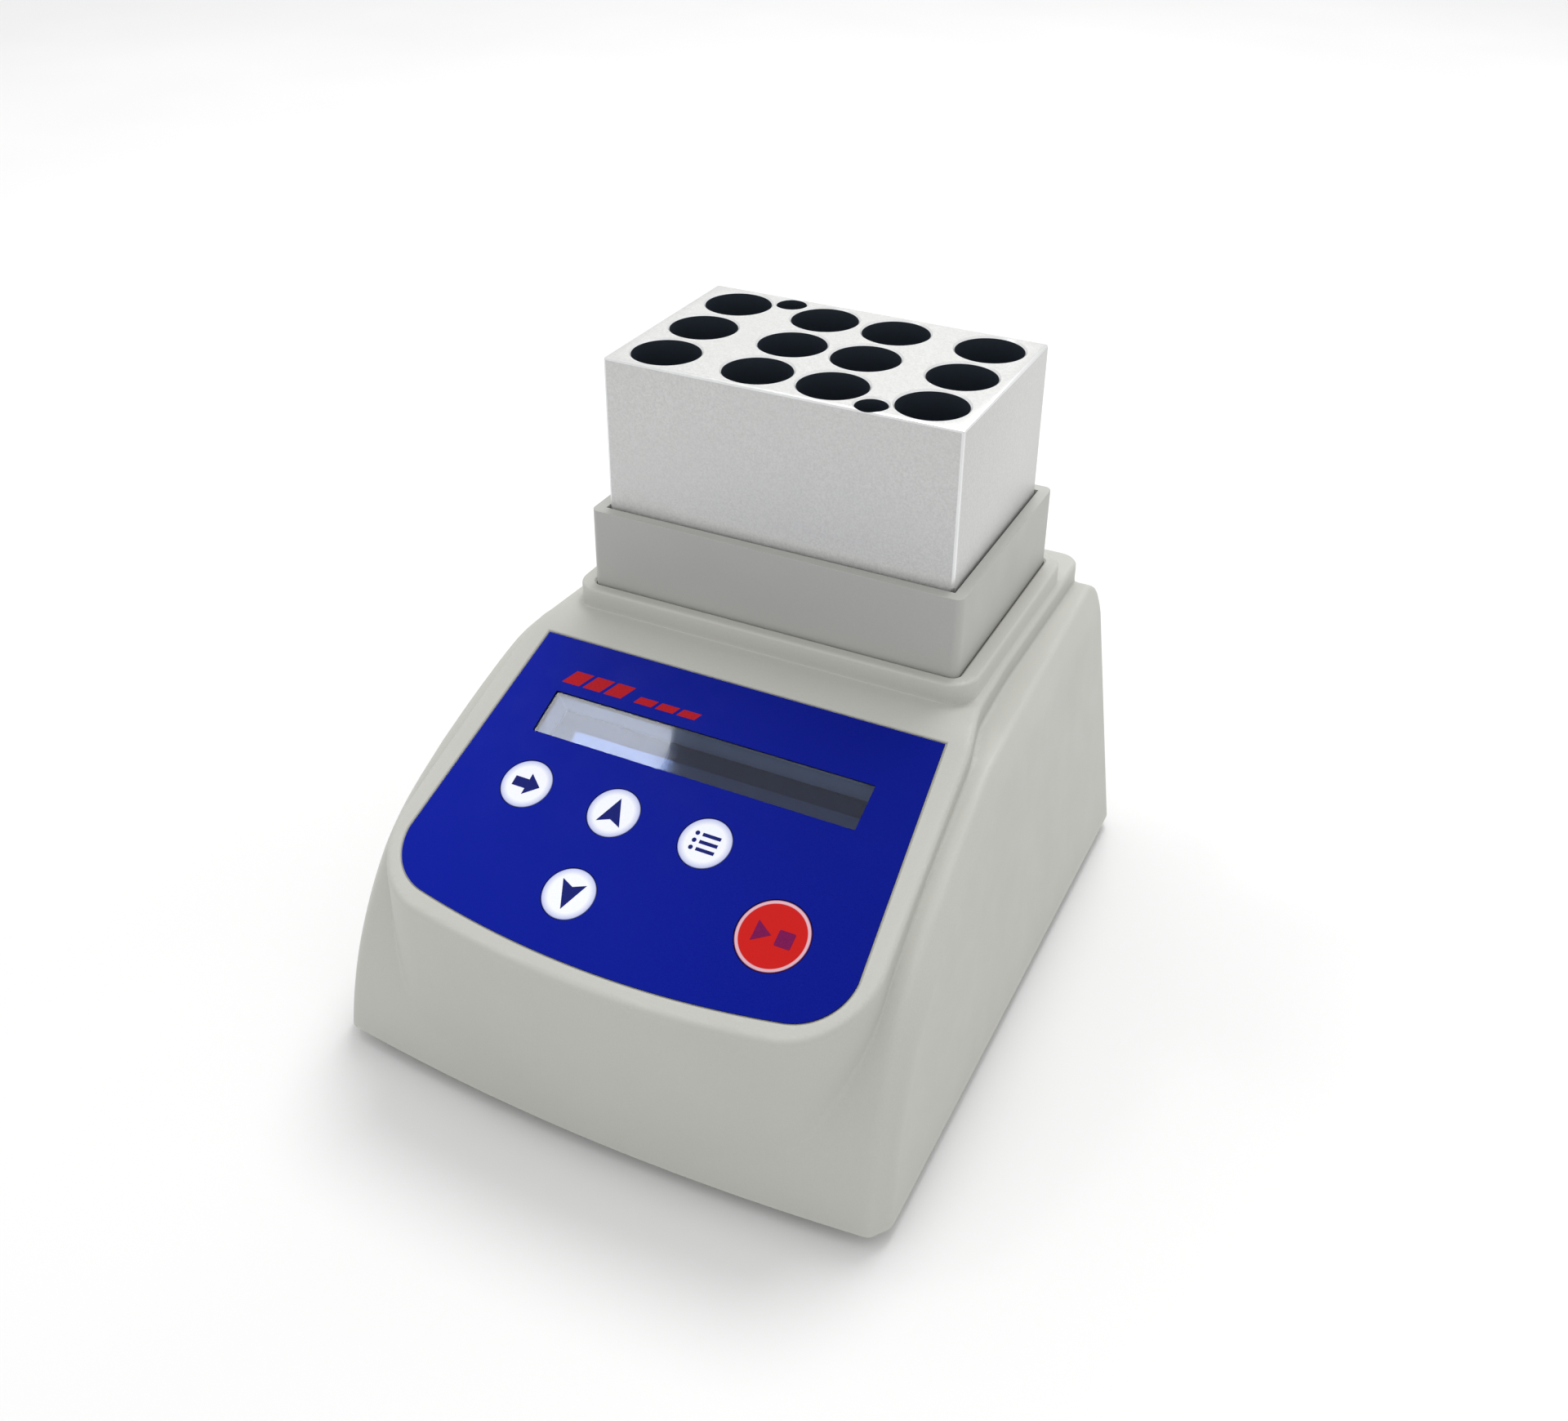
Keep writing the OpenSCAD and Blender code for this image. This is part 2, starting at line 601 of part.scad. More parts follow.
module main_board() color([0.10, 0.35, 0.18]) translate([0, main_y, main_z]) difference() {
    slab(main_w, main_d, board_t);
    translate([0, 0, -1]) four(main_hole[0], main_hole[1]) cylinder(r = small_screw_r + 0.2, h = 9);
}

module main_board_screws() color([0.62, 0.63, 0.65]) translate([0, main_y, main_top])
    four(main_hole[0], main_hole[1]) mirror([0, 0, 1])
        screw(small_screw_r, board_t + 2.6, small_head_r, small_head_h);

module heat_sink() color([0.30, 0.31, 0.33]) translate([-24, main_y, main_top]) {
    slab(3, 20, 11);
    for (i = [-2 : 2]) translate([-3, i * 4.4, 0]) slab(5, 1.4, 11);
}

module power_transistors() color([0.12, 0.12, 0.13]) for (s = [-1, 1])
    translate([-20.1, main_y + s * 5.5, main_top]) slab(4.6, 8, 10);

module capacitors() color([0.14, 0.16, 0.30]) {
    translate([20, main_y - 8, main_top]) cylinder(r = 5, h = 12);
    translate([20, main_y + 6, main_top]) cylinder(r = 4, h = 10);
}

module controller_chip() color([0.13, 0.13, 0.14]) translate([-5, main_y - 9, main_top])
    slab(10, 10, 1.6);

module buzzer() color([0.10, 0.10, 0.10]) translate([6, main_y - 14, main_top]) difference() {
    cylinder(r = 5, h = 7);
    translate([0, 0, 5]) cylinder(r = 1, h = 3);
}

// --- Back ---

module power_socket() color([0.12, 0.12, 0.13])
    translate([socket_x, pocket_y, pocket_z]) rotate([-90, 0, 0]) {
        difference() {
            union() {
                cylinder(r = socket_r, h = 1.4);
                translate([0, 0, -14]) cylinder(r = socket_r - 1, h = 14 + eps);
            }
            translate([0, 0, -9]) cylinder(r = socket_bore, h = 20);
        }
        translate([0, 0, -9.5]) cylinder(r = pin_r, h = 8.5);
    }

module socket_nut() color([0.70, 0.71, 0.72])
    translate([socket_x, pocket_y - wall - 2.2, pocket_z]) rotate([-90, 0, 0]) difference() {
        cylinder(r = socket_r + 2, h = 2.2, $fn = 6);
        translate([0, 0, -1]) cylinder(r = socket_r - 0.95, h = 5);
    }

module switch_body() color([0.13, 0.13, 0.14])
    translate([switch_x, pocket_y, pocket_z]) rotate([-90, 0, 0]) difference() {
        union() {
            slab(rocker_w + 2 * switch_wall + 3, rocker_h + 2 * switch_wall + 3, 1.2);
            translate([0, 0, -13]) slab(rocker_w + 2 * switch_wall, rocker_h + 2 * switch_wall, 13.2);
        }
        translate([0, 0, -8]) slab(rocker_w + 0.3, rocker_h + 0.6, 20);
    }

// The rocker turns about X; at rest its lower half is pressed in
module switch_rocker() color([0.20, 0.20, 0.21])
    translate([switch_x - rocker_w / 2, pocket_y - pivot_depth, pocket_z])
        rotate([-rocker_tilt, 0, 0]) rotate([90, 0, 90]) linear_extrude(rocker_w)
            polygon([[-3, -2], [-1, -rocker_h / 2 + 1], [2.9, -rocker_h / 2 + 0.2], [2.3, 0],
                [2.9, rocker_h / 2 - 0.2], [-1, rocker_h / 2 - 1], [-3, 2]]);

module switch_terminals() color([0.75, 0.72, 0.60]) for (s = [-1, 1])
    translate([switch_x, pocket_y - 13, pocket_z + s * 4]) rotate([90, 0, 0]) slab(4.8, 0.8, 7);

upper_housing();
base_plate();
rubber_feet();
base_screws();
collar();
collar_screws();
heating_block();
heater_plate();
heating_film();
insulation_pad();
insulation_sleeve();
heater_carrier();
carrier_posts();
carrier_screws();
temperature_probe();
thermal_cutout();
panel_film();
display_window();
display_bezel();
display_glass();
control_board();
control_board_screws();
tact_switches();
key_next();
key_up();
key_program();
key_down();
key_start();
ribbon_cable();
ribbon_headers();
main_board();
main_board_screws();
heat_sink();
power_transistors();
capacitors();
controller_chip();
buzzer();
power_socket();
socket_nut();
switch_body();
switch_rocker();
switch_terminals();
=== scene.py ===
"""Looks of a dry block heater: sloped housing, control panel, collar and lift-out block."""
import json
import math

import bmesh
import bpy
import numpy as np
from bpy.props import FloatProperty, FloatVectorProperty, IntProperty, PointerProperty
from bpy.types import Operator, Panel, PropertyGroup
from mathutils import Matrix, Vector

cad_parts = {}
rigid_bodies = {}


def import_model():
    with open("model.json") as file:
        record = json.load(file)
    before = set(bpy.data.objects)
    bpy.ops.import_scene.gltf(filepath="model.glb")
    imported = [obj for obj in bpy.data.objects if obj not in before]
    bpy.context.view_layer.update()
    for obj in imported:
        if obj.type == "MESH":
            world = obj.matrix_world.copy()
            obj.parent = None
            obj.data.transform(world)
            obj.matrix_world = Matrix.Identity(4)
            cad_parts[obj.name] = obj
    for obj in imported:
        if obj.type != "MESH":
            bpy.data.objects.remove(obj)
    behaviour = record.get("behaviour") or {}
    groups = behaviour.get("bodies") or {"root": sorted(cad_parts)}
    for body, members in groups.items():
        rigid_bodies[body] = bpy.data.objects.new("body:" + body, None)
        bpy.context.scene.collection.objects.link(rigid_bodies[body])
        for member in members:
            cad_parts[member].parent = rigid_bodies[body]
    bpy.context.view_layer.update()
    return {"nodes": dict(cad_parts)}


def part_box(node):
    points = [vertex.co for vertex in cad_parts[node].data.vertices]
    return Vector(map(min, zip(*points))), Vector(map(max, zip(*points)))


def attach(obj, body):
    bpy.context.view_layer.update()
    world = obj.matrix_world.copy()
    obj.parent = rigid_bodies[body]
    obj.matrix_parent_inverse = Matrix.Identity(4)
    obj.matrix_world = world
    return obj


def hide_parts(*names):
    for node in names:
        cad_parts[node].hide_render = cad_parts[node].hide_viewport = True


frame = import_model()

bl_info = {
    "name": "Dry Block Heater",
    "version": (1, 0, 0),
    "blender": (4, 5, 0),
    "location": "View3D > Sidebar > Heater",
    "description": "Builds the looks of a dry block heater around its packed frame",
    "category": "Object",
}

MM = 0.001
NODES = frame["nodes"]
SHARP = 35.0       # degrees past which an edge is sharp
WELD = 2e-6        # metres within which a CAD node's points are one


def middle(node):
    """Middle of a CAD node's box, in metres."""
    low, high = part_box(node)
    return (low + high) / 2


def extent(node):
    """Size of a CAD node's box, in metres."""
    low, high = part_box(node)
    return high - low


def length(name, description, millimetres, **more):
    """A length property with its default given in millimetres."""
    return FloatProperty(name=name, description=description, default=millimetres * MM,
                         unit="LENGTH", subtype="DISTANCE", precision=5, **more)


def colour(name, description, value):
    """A colour property."""
    return FloatVectorProperty(name=name, description=description, default=value,
                               subtype="COLOR", size=3, min=0.0, max=1.0)


# --- Sizes and colours ---

class HousingSizes(PropertyGroup):
    """Sizes of the housing's outer faces."""
    wall: length("Wall", "Thickness of the housing's wall", 2.4)
    slope: FloatProperty(name="Slope", description="Slope of the control panel",
                         default=math.radians(23.5), unit="ROTATION", subtype="ANGLE")
    arch_radius: length("Arch radius", "Radius of the arched front", 63.0)
    bow: length("Bow", "How far the front bows out", 3.0)
    ledge_drop: length("Ledge drop", "Drop from the centre body to the ledge", 3.0)
    ledge_width: length("Ledge width", "Shell left beside the centre body at the front", 7.7)
    front_corner: length("Front corner", "Radius of the centre body's front corners", 13.0)
    blend_radius: length("Blend radius", "Radius between the slope and the flat top", 17.0)
    plinth_height: length("Plinth height", "Height of the plinth round the collar", 4.1)
    plinth_margin: length("Plinth margin", "Plinth left round the collar", 3.3)
    edge_round: length("Edge round", "Radius of the centre body's upper edges", 0.9)
    foot_fillet: length("Foot fillet", "Fillet where one level meets the next", 0.55)
    pitch: length("Mesh pitch", "Size of the housing's mesh faces", 0.8)
    cavity_pitch: length("Cavity pitch", "Size of the mesh faces inside the housing", 1.9)


class PanelSizes(PropertyGroup):
    """Sizes of the control panel, its window and its keys."""
    recess: length("Recess", "Depth of the film's recess", 0.4)
    film_gap: length("Film gap", "Gap round the film", 0.26)
    # The bevel of this width round the film is painted near black, a painted shadow for the gap
    # round the film.
    shadow_bevel: length("Shadow bevel", "Width of the film's dark cut edge", 0.3)
    film_corner: length("Film corner", "Radius of the film's front corners", 11.0)
    film_bow: length("Film bow", "Radius of the film's bowed front edge", 190.0)
    window_width: length("Window width", "Width of the display window", 64.6)
    window_height: length("Window height", "Height of the display window", 9.2)
    window_place: length("Window place", "From the panel's upper edge to the window", 16.5)
    display_depth: length("Display depth", "Depth of the display below the panel", 7.3)
    key_ring: FloatProperty(name="Key ring", description="Where a key's printed ring starts",
                            default=0.84, min=0.5, max=1.0, subtype="FACTOR")


class BlockSizes(PropertyGroup):
    """Sizes of the heating block's holes."""
    well_radius: length("Well radius", "Radius of a tube well", 6.55)
    well_depth: length("Well depth", "Depth of a tube well", 46.0)
    column_inner: length("Inner pitch", "Distance between the two middle columns", 14.85)
    column_outer: length("Outer pitch", "Distance from a middle column to the outer one", 18.75)
    row: length("Row pitch", "Distance between rows", 14.25)
    tool_radius: length("Tool hole radius", "Radius of the two small holes", 3.0)
    tool_place: length("Tool hole place", "From the block's middle line to a small hole", 18.9)
    tool_depth: length("Tool hole depth", "Depth of a small hole", 22.0)
    rim: length("Rim", "Chamfer round each hole", 0.35)
    edge: length("Edge", "Chamfer along the block's edges", 0.5)


class FixingSizes(PropertyGroup):
    """Sizes of the screws and feet."""
    head_radius: length("Head radius", "Radius of a base screw's head", 2.7)
    head_height: length("Head height", "Height of a base screw's head", 1.8)
    shank_radius: length("Shank radius", "Radius of a base screw's shank", 1.5)
    shank_length: length("Shank length", "Length of a base screw's shank", 11.0)
    foot_radius: length("Foot radius", "Radius of a rubber foot", 5.0)
    foot_taper: length("Foot taper", "How much narrower a foot is below", 0.6)
    foot_sides: IntProperty(name="Foot sides", description="Faces round a foot", default=64)


class FinishColours(PropertyGroup):
    """Colours of the visible finishes."""
    housing: colour("Housing", "Moulded housing", (0.500, 0.500, 0.465))
    collar: colour("Collar", "Moulded collar", (0.425, 0.427, 0.405))
    block: colour("Block", "Blasted aluminium block", (0.640, 0.642, 0.630))
    edge: colour("Edge", "Cut edges of the block", (0.860, 0.865, 0.865))
    # Painted shade: the bores are painted near black for the shade deep inside the holes, not the
    # block's own metal.
    well: colour("Well shade", "Inside of the tube wells", (0.030, 0.042, 0.060))
    film: colour("Film", "Printed panel film", (0.0015, 0.0075, 0.230))
    accent: colour("Accent", "Printed accent bars", (0.420, 0.012, 0.020))
    key: colour("Key", "White keys", (0.860, 0.880, 0.940))
    key_rim: colour("Key rim", "Soft edge of the white keys", (0.200, 0.240, 0.640))
    start: colour("Start key", "Red key", (0.540, 0.008, 0.006))
    start_ring: colour("Start ring", "Ring round the red key", (0.660, 0.400, 0.470))
    mark: colour("Mark", "Marks on the white keys", (0.010, 0.016, 0.150))
    start_mark: colour("Start mark", "Mark on the red key", (0.170, 0.008, 0.075))


# --- Meshes ---

def link(mesh, name):
    """A new object at the origin that shows a mesh."""
    piece = bpy.data.objects.new(name, mesh)
    bpy.context.scene.collection.objects.link(piece)
    return piece


def mesh_from(points, faces, name):
    """A mesh from points in metres and faces, with its normals turned outwards."""
    mesh = bpy.data.meshes.new(name)
    mesh.from_pydata([tuple(p) for p in points], [], [tuple(f) for f in faces])
    tidy_normals(mesh)
    return mesh


def tidy_normals(mesh):
    """Merges doubles and turns the faces outwards."""
    work = bmesh.new()
    work.from_mesh(mesh)
    bmesh.ops.remove_doubles(work, verts=work.verts, dist=1e-7)
    bmesh.ops.recalc_face_normals(work, faces=work.faces)
    work.to_mesh(mesh)
    work.free()


def loft(rings, name, place=Matrix.Identity(4)):
    """A closed mesh through rings with equal counts of points, in millimetres.

    The matrix that places it is in metres.
    """
    count = len(rings[0])
    points = [place @ (Vector(p) * MM) for ring in rings for p in ring]
    faces = [list(range(count))[::-1]]
    for row in range(len(rings) - 1):
        start = row * count
        for i in range(count):
            j = (i + 1) % count
            faces.append((start + i, start + j, start + count + j, start + count + i))
    last = (len(rings) - 1) * count
    faces.append(list(range(last, last + count)))
    return mesh_from(points, faces, name)


def level(outline, z):
    """A flat ring at a height."""
    return [(x, y, z) for x, y in outline]


def arc(centre, radius, start, end, steps):
    """Points on an arc, in degrees."""
    angles = [math.radians(start + (end - start) * i / steps) for i in range(steps + 1)]
    return [(centre[0] + radius * math.cos(a), centre[1] + radius * math.sin(a)) for a in angles]


def rounded_rectangle(width, depth, radius, steps=6, centre=(0.0, 0.0)):
    """Outline of a rectangle with round corners."""
    x, y = width / 2 - radius, depth / 2 - radius
    corners = ((x, y, 0), (-x, y, 90), (-x, -y, 180), (x, -y, 270))
    return [p for cx, cy, turn in corners
            for p in arc((centre[0] + cx, centre[1] + cy), radius, turn, turn + 90, steps)]


def circle(radius, sides, centre=(0.0, 0.0)):
    """Outline of a circle."""
    return arc(centre, radius, 0, 360 - 360 / sides, sides - 1)


def evaluated(piece):
    """The piece's mesh with its modifiers worked in, as a new mesh."""
    bpy.context.view_layer.update()
    depsgraph = bpy.context.evaluated_depsgraph_get()
    return bpy.data.meshes.new_from_object(piece.evaluated_get(depsgraph), depsgraph=depsgraph)


def settle(piece):
    """Works a piece's modifiers into its mesh and removes them."""
    mesh = evaluated(piece)
    piece.modifiers.clear()
    old = piece.data
    piece.data = mesh
    mesh.name = piece.name
    bpy.data.meshes.remove(old)
    return piece


def combine(piece, tools, operation="DIFFERENCE"):
    """Cuts tool meshes from a piece, or joins them to it."""
    helpers = []
    for number, tool in enumerate(tools):
        helper = link(tool, f"tool_{number}")
        helpers.append(helper)
        change = piece.modifiers.new("combine", "BOOLEAN")
        change.object = helper
        change.operation = operation
        change.solver = "MANIFOLD"
    settle(piece)
    for helper in helpers:
        mesh = helper.data
        bpy.data.objects.remove(helper)
        bpy.data.meshes.remove(mesh)
    return piece


def soften(piece, width, segments):
    """Rounds a piece's sharp edges and keeps its flat faces flat."""
    bevel = piece.modifiers.new("round", "BEVEL")
    bevel.limit_method = "ANGLE"
    bevel.angle_limit = math.radians(SHARP)
    bevel.width = width * MM
    bevel.segments = segments
    bevel.use_clamp_overlap = True
    bevel.harden_normals = True
    for face in piece.data.polygons:
        face.use_smooth = True
    piece.data.set_sharp_from_angle(angle=math.radians(SHARP + 5))
    return settle(piece)


def smooth(piece, angle=SHARP):
    """Smooth shading that breaks at sharp edges."""
    for face in piece.data.polygons:
        face.use_smooth = True
    piece.data.set_sharp_from_angle(angle=math.radians(angle))
    return piece


def softened_node(node, name, width, segments):
    """A rounded copy of a CAD node that stands for it."""
    mesh = NODES[node].data.copy()
    mesh.materials.clear()
    if mesh.has_custom_normals:
        mesh.attributes.remove(mesh.attributes["custom_normal"])
    work = bmesh.new()
    work.from_mesh(mesh)
    bmesh.ops.remove_doubles(work, verts=work.verts, dist=WELD)
    bmesh.ops.dissolve_degenerate(work, edges=work.edges, dist=WELD)
    bmesh.ops.dissolve_limit(work, angle_limit=math.radians(1.0), verts=work.verts,
                             edges=work.edges)
    work.to_mesh(mesh)
    work.free()
    return soften(link(mesh, name), width, segments)


def paint(piece, *slots):
    """Gives a piece its finishes, the first one on every face."""
    mesh = piece.data
    mesh.materials.clear()
    for slot in slots:
        mesh.materials.append(finish_of(slot))
    mesh.polygons.foreach_set("material_index", np.zeros(len(mesh.polygons), np.int32))


def declare(piece, body, slot, *nodes):
    """Attaches a piece to the body it moves with and hides the CAD nodes it stands for; the slot
    is not used.
    """
    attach(piece, body)
    if nodes:
        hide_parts(*nodes)
    return piece


# --- Finishes ---

class Finish:
    """Builds one material's node tree in object space."""

    def __init__(self, name):
        self.material = bpy.data.materials.new(name)
        self.material.use_nodes = True
        self.tree = self.material.node_tree
        self.shader = self.tree.nodes["Principled BSDF"]
        self.space = self.tree.nodes.new("ShaderNodeTexCoord").outputs["Object"]

    def node(self, kind, inputs=None, **settings):
        """Adds a node; inputs are values or sockets by name or number."""
        made = self.tree.nodes.new(kind)
        for key, value in settings.items():
            setattr(made, key, value)
        for key, value in (inputs or {}).items():
            if isinstance(value, bpy.types.NodeSocket):
                self.tree.links.new(value, made.inputs[key])
            else:
                made.inputs[key].default_value = value
        return made

    def noise(self, size, detail=2.0, roughness=0.5, stretch=(1.0, 1.0, 1.0)):
        """Noise with features of a size in millimetres."""
        space = self.space
        if stretch != (1.0, 1.0, 1.0):
            space = self.node("ShaderNodeMapping", {"Vector": space, "Scale": stretch}).outputs[0]
        return self.node("ShaderNodeTexNoise", {
            "Vector": space, "Scale": 1 / (size * MM), "Detail": detail,
            "Roughness": roughness}).outputs[0]

    def span(self, value, low, high, start=0.3, end=0.7):
        """Maps a value between two ends."""
        return self.node("ShaderNodeMapRange", {
            "Value": value, "From Min": start, "From Max": end,
            "To Min": low, "To Max": high}).outputs[0]

    def blend(self, factor, first, second):
        """Mixes two colours."""
        mix = self.node("ShaderNodeMix", {0: factor}, data_type="RGBA")
        for socket, value in ((mix.inputs[6], first), (mix.inputs[7], second)):
            if isinstance(value, bpy.types.NodeSocket):
                self.tree.links.new(value, socket)
            else:
                socket.default_value = (*value[:3], 1.0)
        return mix.outputs[2]

    def bump(self, height, distance, strength=1.0, before=None):
        """Adds a bump of a depth in millimetres."""
        inputs = {"Height": height, "Distance": distance * MM, "Strength": strength}
        if before:
            inputs["Normal"] = before
        return self.node("ShaderNodeBump", inputs).outputs[0]

    def edge_highlight(self):
        """Grows from 0 on flat faces to 1 on edges that stand out, where a painted highlight goes.
        """
        point = self.node("ShaderNodeNewGeometry").outputs["Pointiness"]
        return self.span(point, 0.0, 1.0, 0.505, 0.56)

    def set(self, **values):
        """Sets or links sockets of the shader."""
        for key, value in values.items():
            socket = self.shader.inputs[key.replace("_", " ")]
            if isinstance(value, bpy.types.NodeSocket):
                self.tree.links.new(value, socket)
            else:
                socket.default_value = value
        return self.material


def shade(base, factor):
    """A colour made lighter or darker."""
    return tuple(min(1.0, c * factor) for c in base[:3])


def moulded_plastic(name, base, grain=0.32, depth=0.010, rough=0.52, vary=0.018, edge_highlight=0.10):
    """Textured moulded plastic: fine spark grain, faint clouds and a painted highlight that
    lightens edges that stand out.
    """
    finish = Finish(name)
    clouds = finish.noise(28.0, 3.0)
    specks = finish.noise(grain, 2.0, 0.6)
    tone = finish.blend(finish.span(clouds, 0.0, 1.0), shade(base, 1 - vary),
                        shade(base, 1 + vary))
    tone = finish.blend(finish.span(specks, 0.0, 0.5), tone, shade(base, 0.93))
    # Painted highlight: edges that stand out are lightened towards 1.35 times the base colour.
    tone = finish.blend(finish.span(finish.edge_highlight(), 0.0, edge_highlight, 0.0, 1.0), tone, shade(base, 1.35))
    rubbed = finish.span(finish.noise(9.0, 4.0), rough - 0.05, rough + 0.06)
    normal = finish.bump(specks, depth)
    return finish.set(Base_Color=tone, Roughness=rubbed, Normal=normal)


def blasted_metal(name, base, grain=0.42, depth=0.014, rough=0.46, metallic=0.8, vary=0.07):
    """Bead-blasted metal: a sparkling grain over soft clouds."""
    finish = Finish(name)
    grains = finish.noise(grain, 3.0, 0.7)
    clouds = finish.noise(14.0, 3.0)
    tone = finish.blend(finish.span(grains, 0.0, 1.0), shade(base, 1 - 1.6 * vary),
                        shade(base, 1 + vary))
    tone = finish.blend(finish.span(clouds, 0.0, 0.35), tone, shade(base, 0.94))
    roughness = finish.span(grains, rough - 0.08, rough + 0.12)
    normal = finish.bump(grains, depth, 1.0, finish.bump(finish.noise(5.0), 0.01))
    return finish.set(Base_Color=tone, Roughness=roughness, Metallic=metallic, Normal=normal)


def brushed_metal(name, base, stretch=(1.0, 20.0, 20.0), rough=0.26, depth=0.004):
    """Cut or drawn metal with fine lines along one direction."""
    finish = Finish(name)
    lines = finish.noise(1.2, 3.0, 0.6, stretch)
    tone = finish.blend(finish.span(lines, 0.0, 1.0), shade(base, 0.88), shade(base, 1.06))
    roughness = finish.span(lines, rough - 0.07, rough + 0.10)
    stains = finish.noise(6.0, 4.0)
    tone = finish.blend(finish.span(stains, 0.0, 0.25), tone, shade(base, 0.8))
    return finish.set(Base_Color=tone, Roughness=roughness, Metallic=1.0,
                      Normal=finish.bump(lines, depth))


def print_film(name, base, rough=0.34):
    """Printed polyester film: ink with a painted sheen, lighter towards the left and darker
    towards the right, a fine velvet grain and slight changes of roughness.
    """
    finish = Finish(name)
    # Painted sheen: the ink is lighter towards negative x and darker, with less red and green,
    # towards positive x.
    painted_sheen_x = finish.node("ShaderNodeSeparateXYZ", {0: finish.space}).outputs[0]
    tone = finish.blend(finish.span(painted_sheen_x, 0.0, 1.0, -0.045, 0.045), shade(base, 1.30),
                        (base[0] * 0.55, base[1] * 0.75, base[2] * 0.92))
    specks = finish.noise(0.22, 2.0, 0.6)
    tone = finish.blend(finish.span(specks, 0.0, 0.16), tone, (0.010, 0.030, 0.330))
    roughness = finish.span(finish.noise(7.0, 3.0), rough - 0.04, rough + 0.07)
    normal = finish.bump(specks, 0.004, 1.0, finish.bump(finish.noise(11.0), 0.02))
    return finish.set(Base_Color=tone, Roughness=roughness, Normal=normal,
                      Specular_IOR_Level=0.04)


def fibre(name, base, size=0.8, depth=0.12):
    """Felted insulation: tangled fibres and soft pits."""
    finish = Finish(name)
    strands = finish.noise(size, 6.0, 0.75, (1.0, 3.0, 1.6))
    clumps = finish.noise(5.0, 4.0)
    tone = finish.blend(finish.span(strands, 0.0, 1.0), shade(base, 0.78), shade(base, 1.05))
    tone = finish.blend(finish.span(clumps, 0.0, 0.5), tone, shade(base, 0.86))
    return finish.set(Base_Color=tone, Roughness=0.92, Normal=finish.bump(strands, depth))


def circuit_board(name, base):
    """Solder mask over copper tracks, with tinned pads."""
    finish = Finish(name)
    tracks = finish.node("ShaderNodeTexBrick", {
        "Vector": finish.space, "Scale": 260.0, "Mortar Size": 0.03,
        "Color1": (0, 0, 0, 1), "Color2": (0, 0, 0, 1), "Mortar": (1, 1, 1, 1)}).outputs[0]
    cells = finish.node("ShaderNodeTexVoronoi", {"Vector": finish.space, "Scale": 330.0})
    pads = finish.span(cells.outputs["Distance"], 1.0, 0.0, 0.16, 0.20)
    weave = finish.noise(0.5, 2.0)
    tone = finish.blend(finish.span(weave, 0.0, 1.0), shade(base, 0.85), shade(base, 1.15))
    tone = finish.blend(tracks, tone, shade(base, 1.9))
    tone = finish.blend(pads, tone, (0.62, 0.60, 0.52))
    return finish.set(Base_Color=tone, Roughness=finish.span(weave, 0.28, 0.42),
                      Normal=finish.bump(tracks, 0.03))


def key_cap(name, centre, rim, ring=None, start=0.84):
    """A printed key: an even middle with a soft rim, read from the cap's own UV map."""
    finish = Finish(name)
    place = finish.node("ShaderNodeUVMap", uv_map="cap").outputs[0]
    moved = finish.node("ShaderNodeVectorMath", {0: place, 1: (-0.5, -0.5, 0.0)},
                        operation="ADD").outputs[0]
    out = finish.node("ShaderNodeVectorMath", {0: moved}, operation="LENGTH").outputs[1]
    radius = finish.node("ShaderNodeMath", {0: out, 1: 2.0}, operation="MULTIPLY").outputs[0]
    specks = finish.noise(0.3, 2.0)
    tone = finish.blend(finish.span(specks, 0.0, 1.0), shade(centre, 0.97), centre)
    if ring:
        tone = finish.blend(finish.span(radius, 0.0, 1.0, start, start + 0.02), tone, ring)
        tone = finish.blend(finish.span(radius, 0.0, 1.0, 0.965, 0.985), tone, rim)
    else:
        tone = finish.blend(finish.span(radius, 0.0, 0.55, start - 0.10, 0.97), tone, rim)
        tone = finish.blend(finish.span(radius, 0.0, 1.0, 0.965, 0.99), tone, shade(rim, 0.5))
    roughness = finish.span(finish.noise(2.0, 3.0), 0.34, 0.44)
    return finish.set(Base_Color=tone, Roughness=roughness, Normal=finish.bump(specks, 0.004),
                      Specular_IOR_Level=0.10)


def ink(name, base):
    """Printed ink with slightly uneven cover."""
    finish = Finish(name)
    cover = finish.noise(0.25, 3.0)
    tone = finish.blend(finish.span(cover, 0.0, 1.0), shade(base, 0.85), shade(base, 1.15))
    return finish.set(Base_Color=tone, Roughness=finish.span(cover, 0.36, 0.48),
                      Specular_IOR_Level=0.04)


def clear_plate(name):
    """Clear window with faint smears."""
    finish = Finish(name)
    smears = finish.noise(9.0, 4.0, 0.6, (1.0, 2.6, 2.6))
    roughness = finish.span(smears, 0.015, 0.06)
    return finish.set(Base_Color=(0.52, 0.64, 0.94, 1.0), Roughness=roughness,
                      Transmission_Weight=1.0, IOR=1.36)


def display_cells(name, base):
    """Switched-off display: dark glass with faint rows of character cells."""
    finish = Finish(name)
    cells = finish.node("ShaderNodeTexBrick", {
        "Vector": finish.space, "Scale": 1.0, "Brick Width": 0.0036, "Row Height": 0.0050,
        "Mortar Size": 0.0003, "Color1": (1, 1, 1, 1), "Color2": (1, 1, 1, 1),
        "Mortar": (0, 0, 0, 1)}, offset=0.0).outputs[0]
    tone = finish.blend(cells, shade(base, 0.86), base)
    clouds = finish.noise(14.0, 2.0)
    tone = finish.blend(finish.span(clouds, 0.0, 0.3), tone, shade(base, 1.4))
    return finish.set(Base_Color=tone, Roughness=finish.span(clouds, 0.02, 0.05),
                      Specular_IOR_Level=0.55)


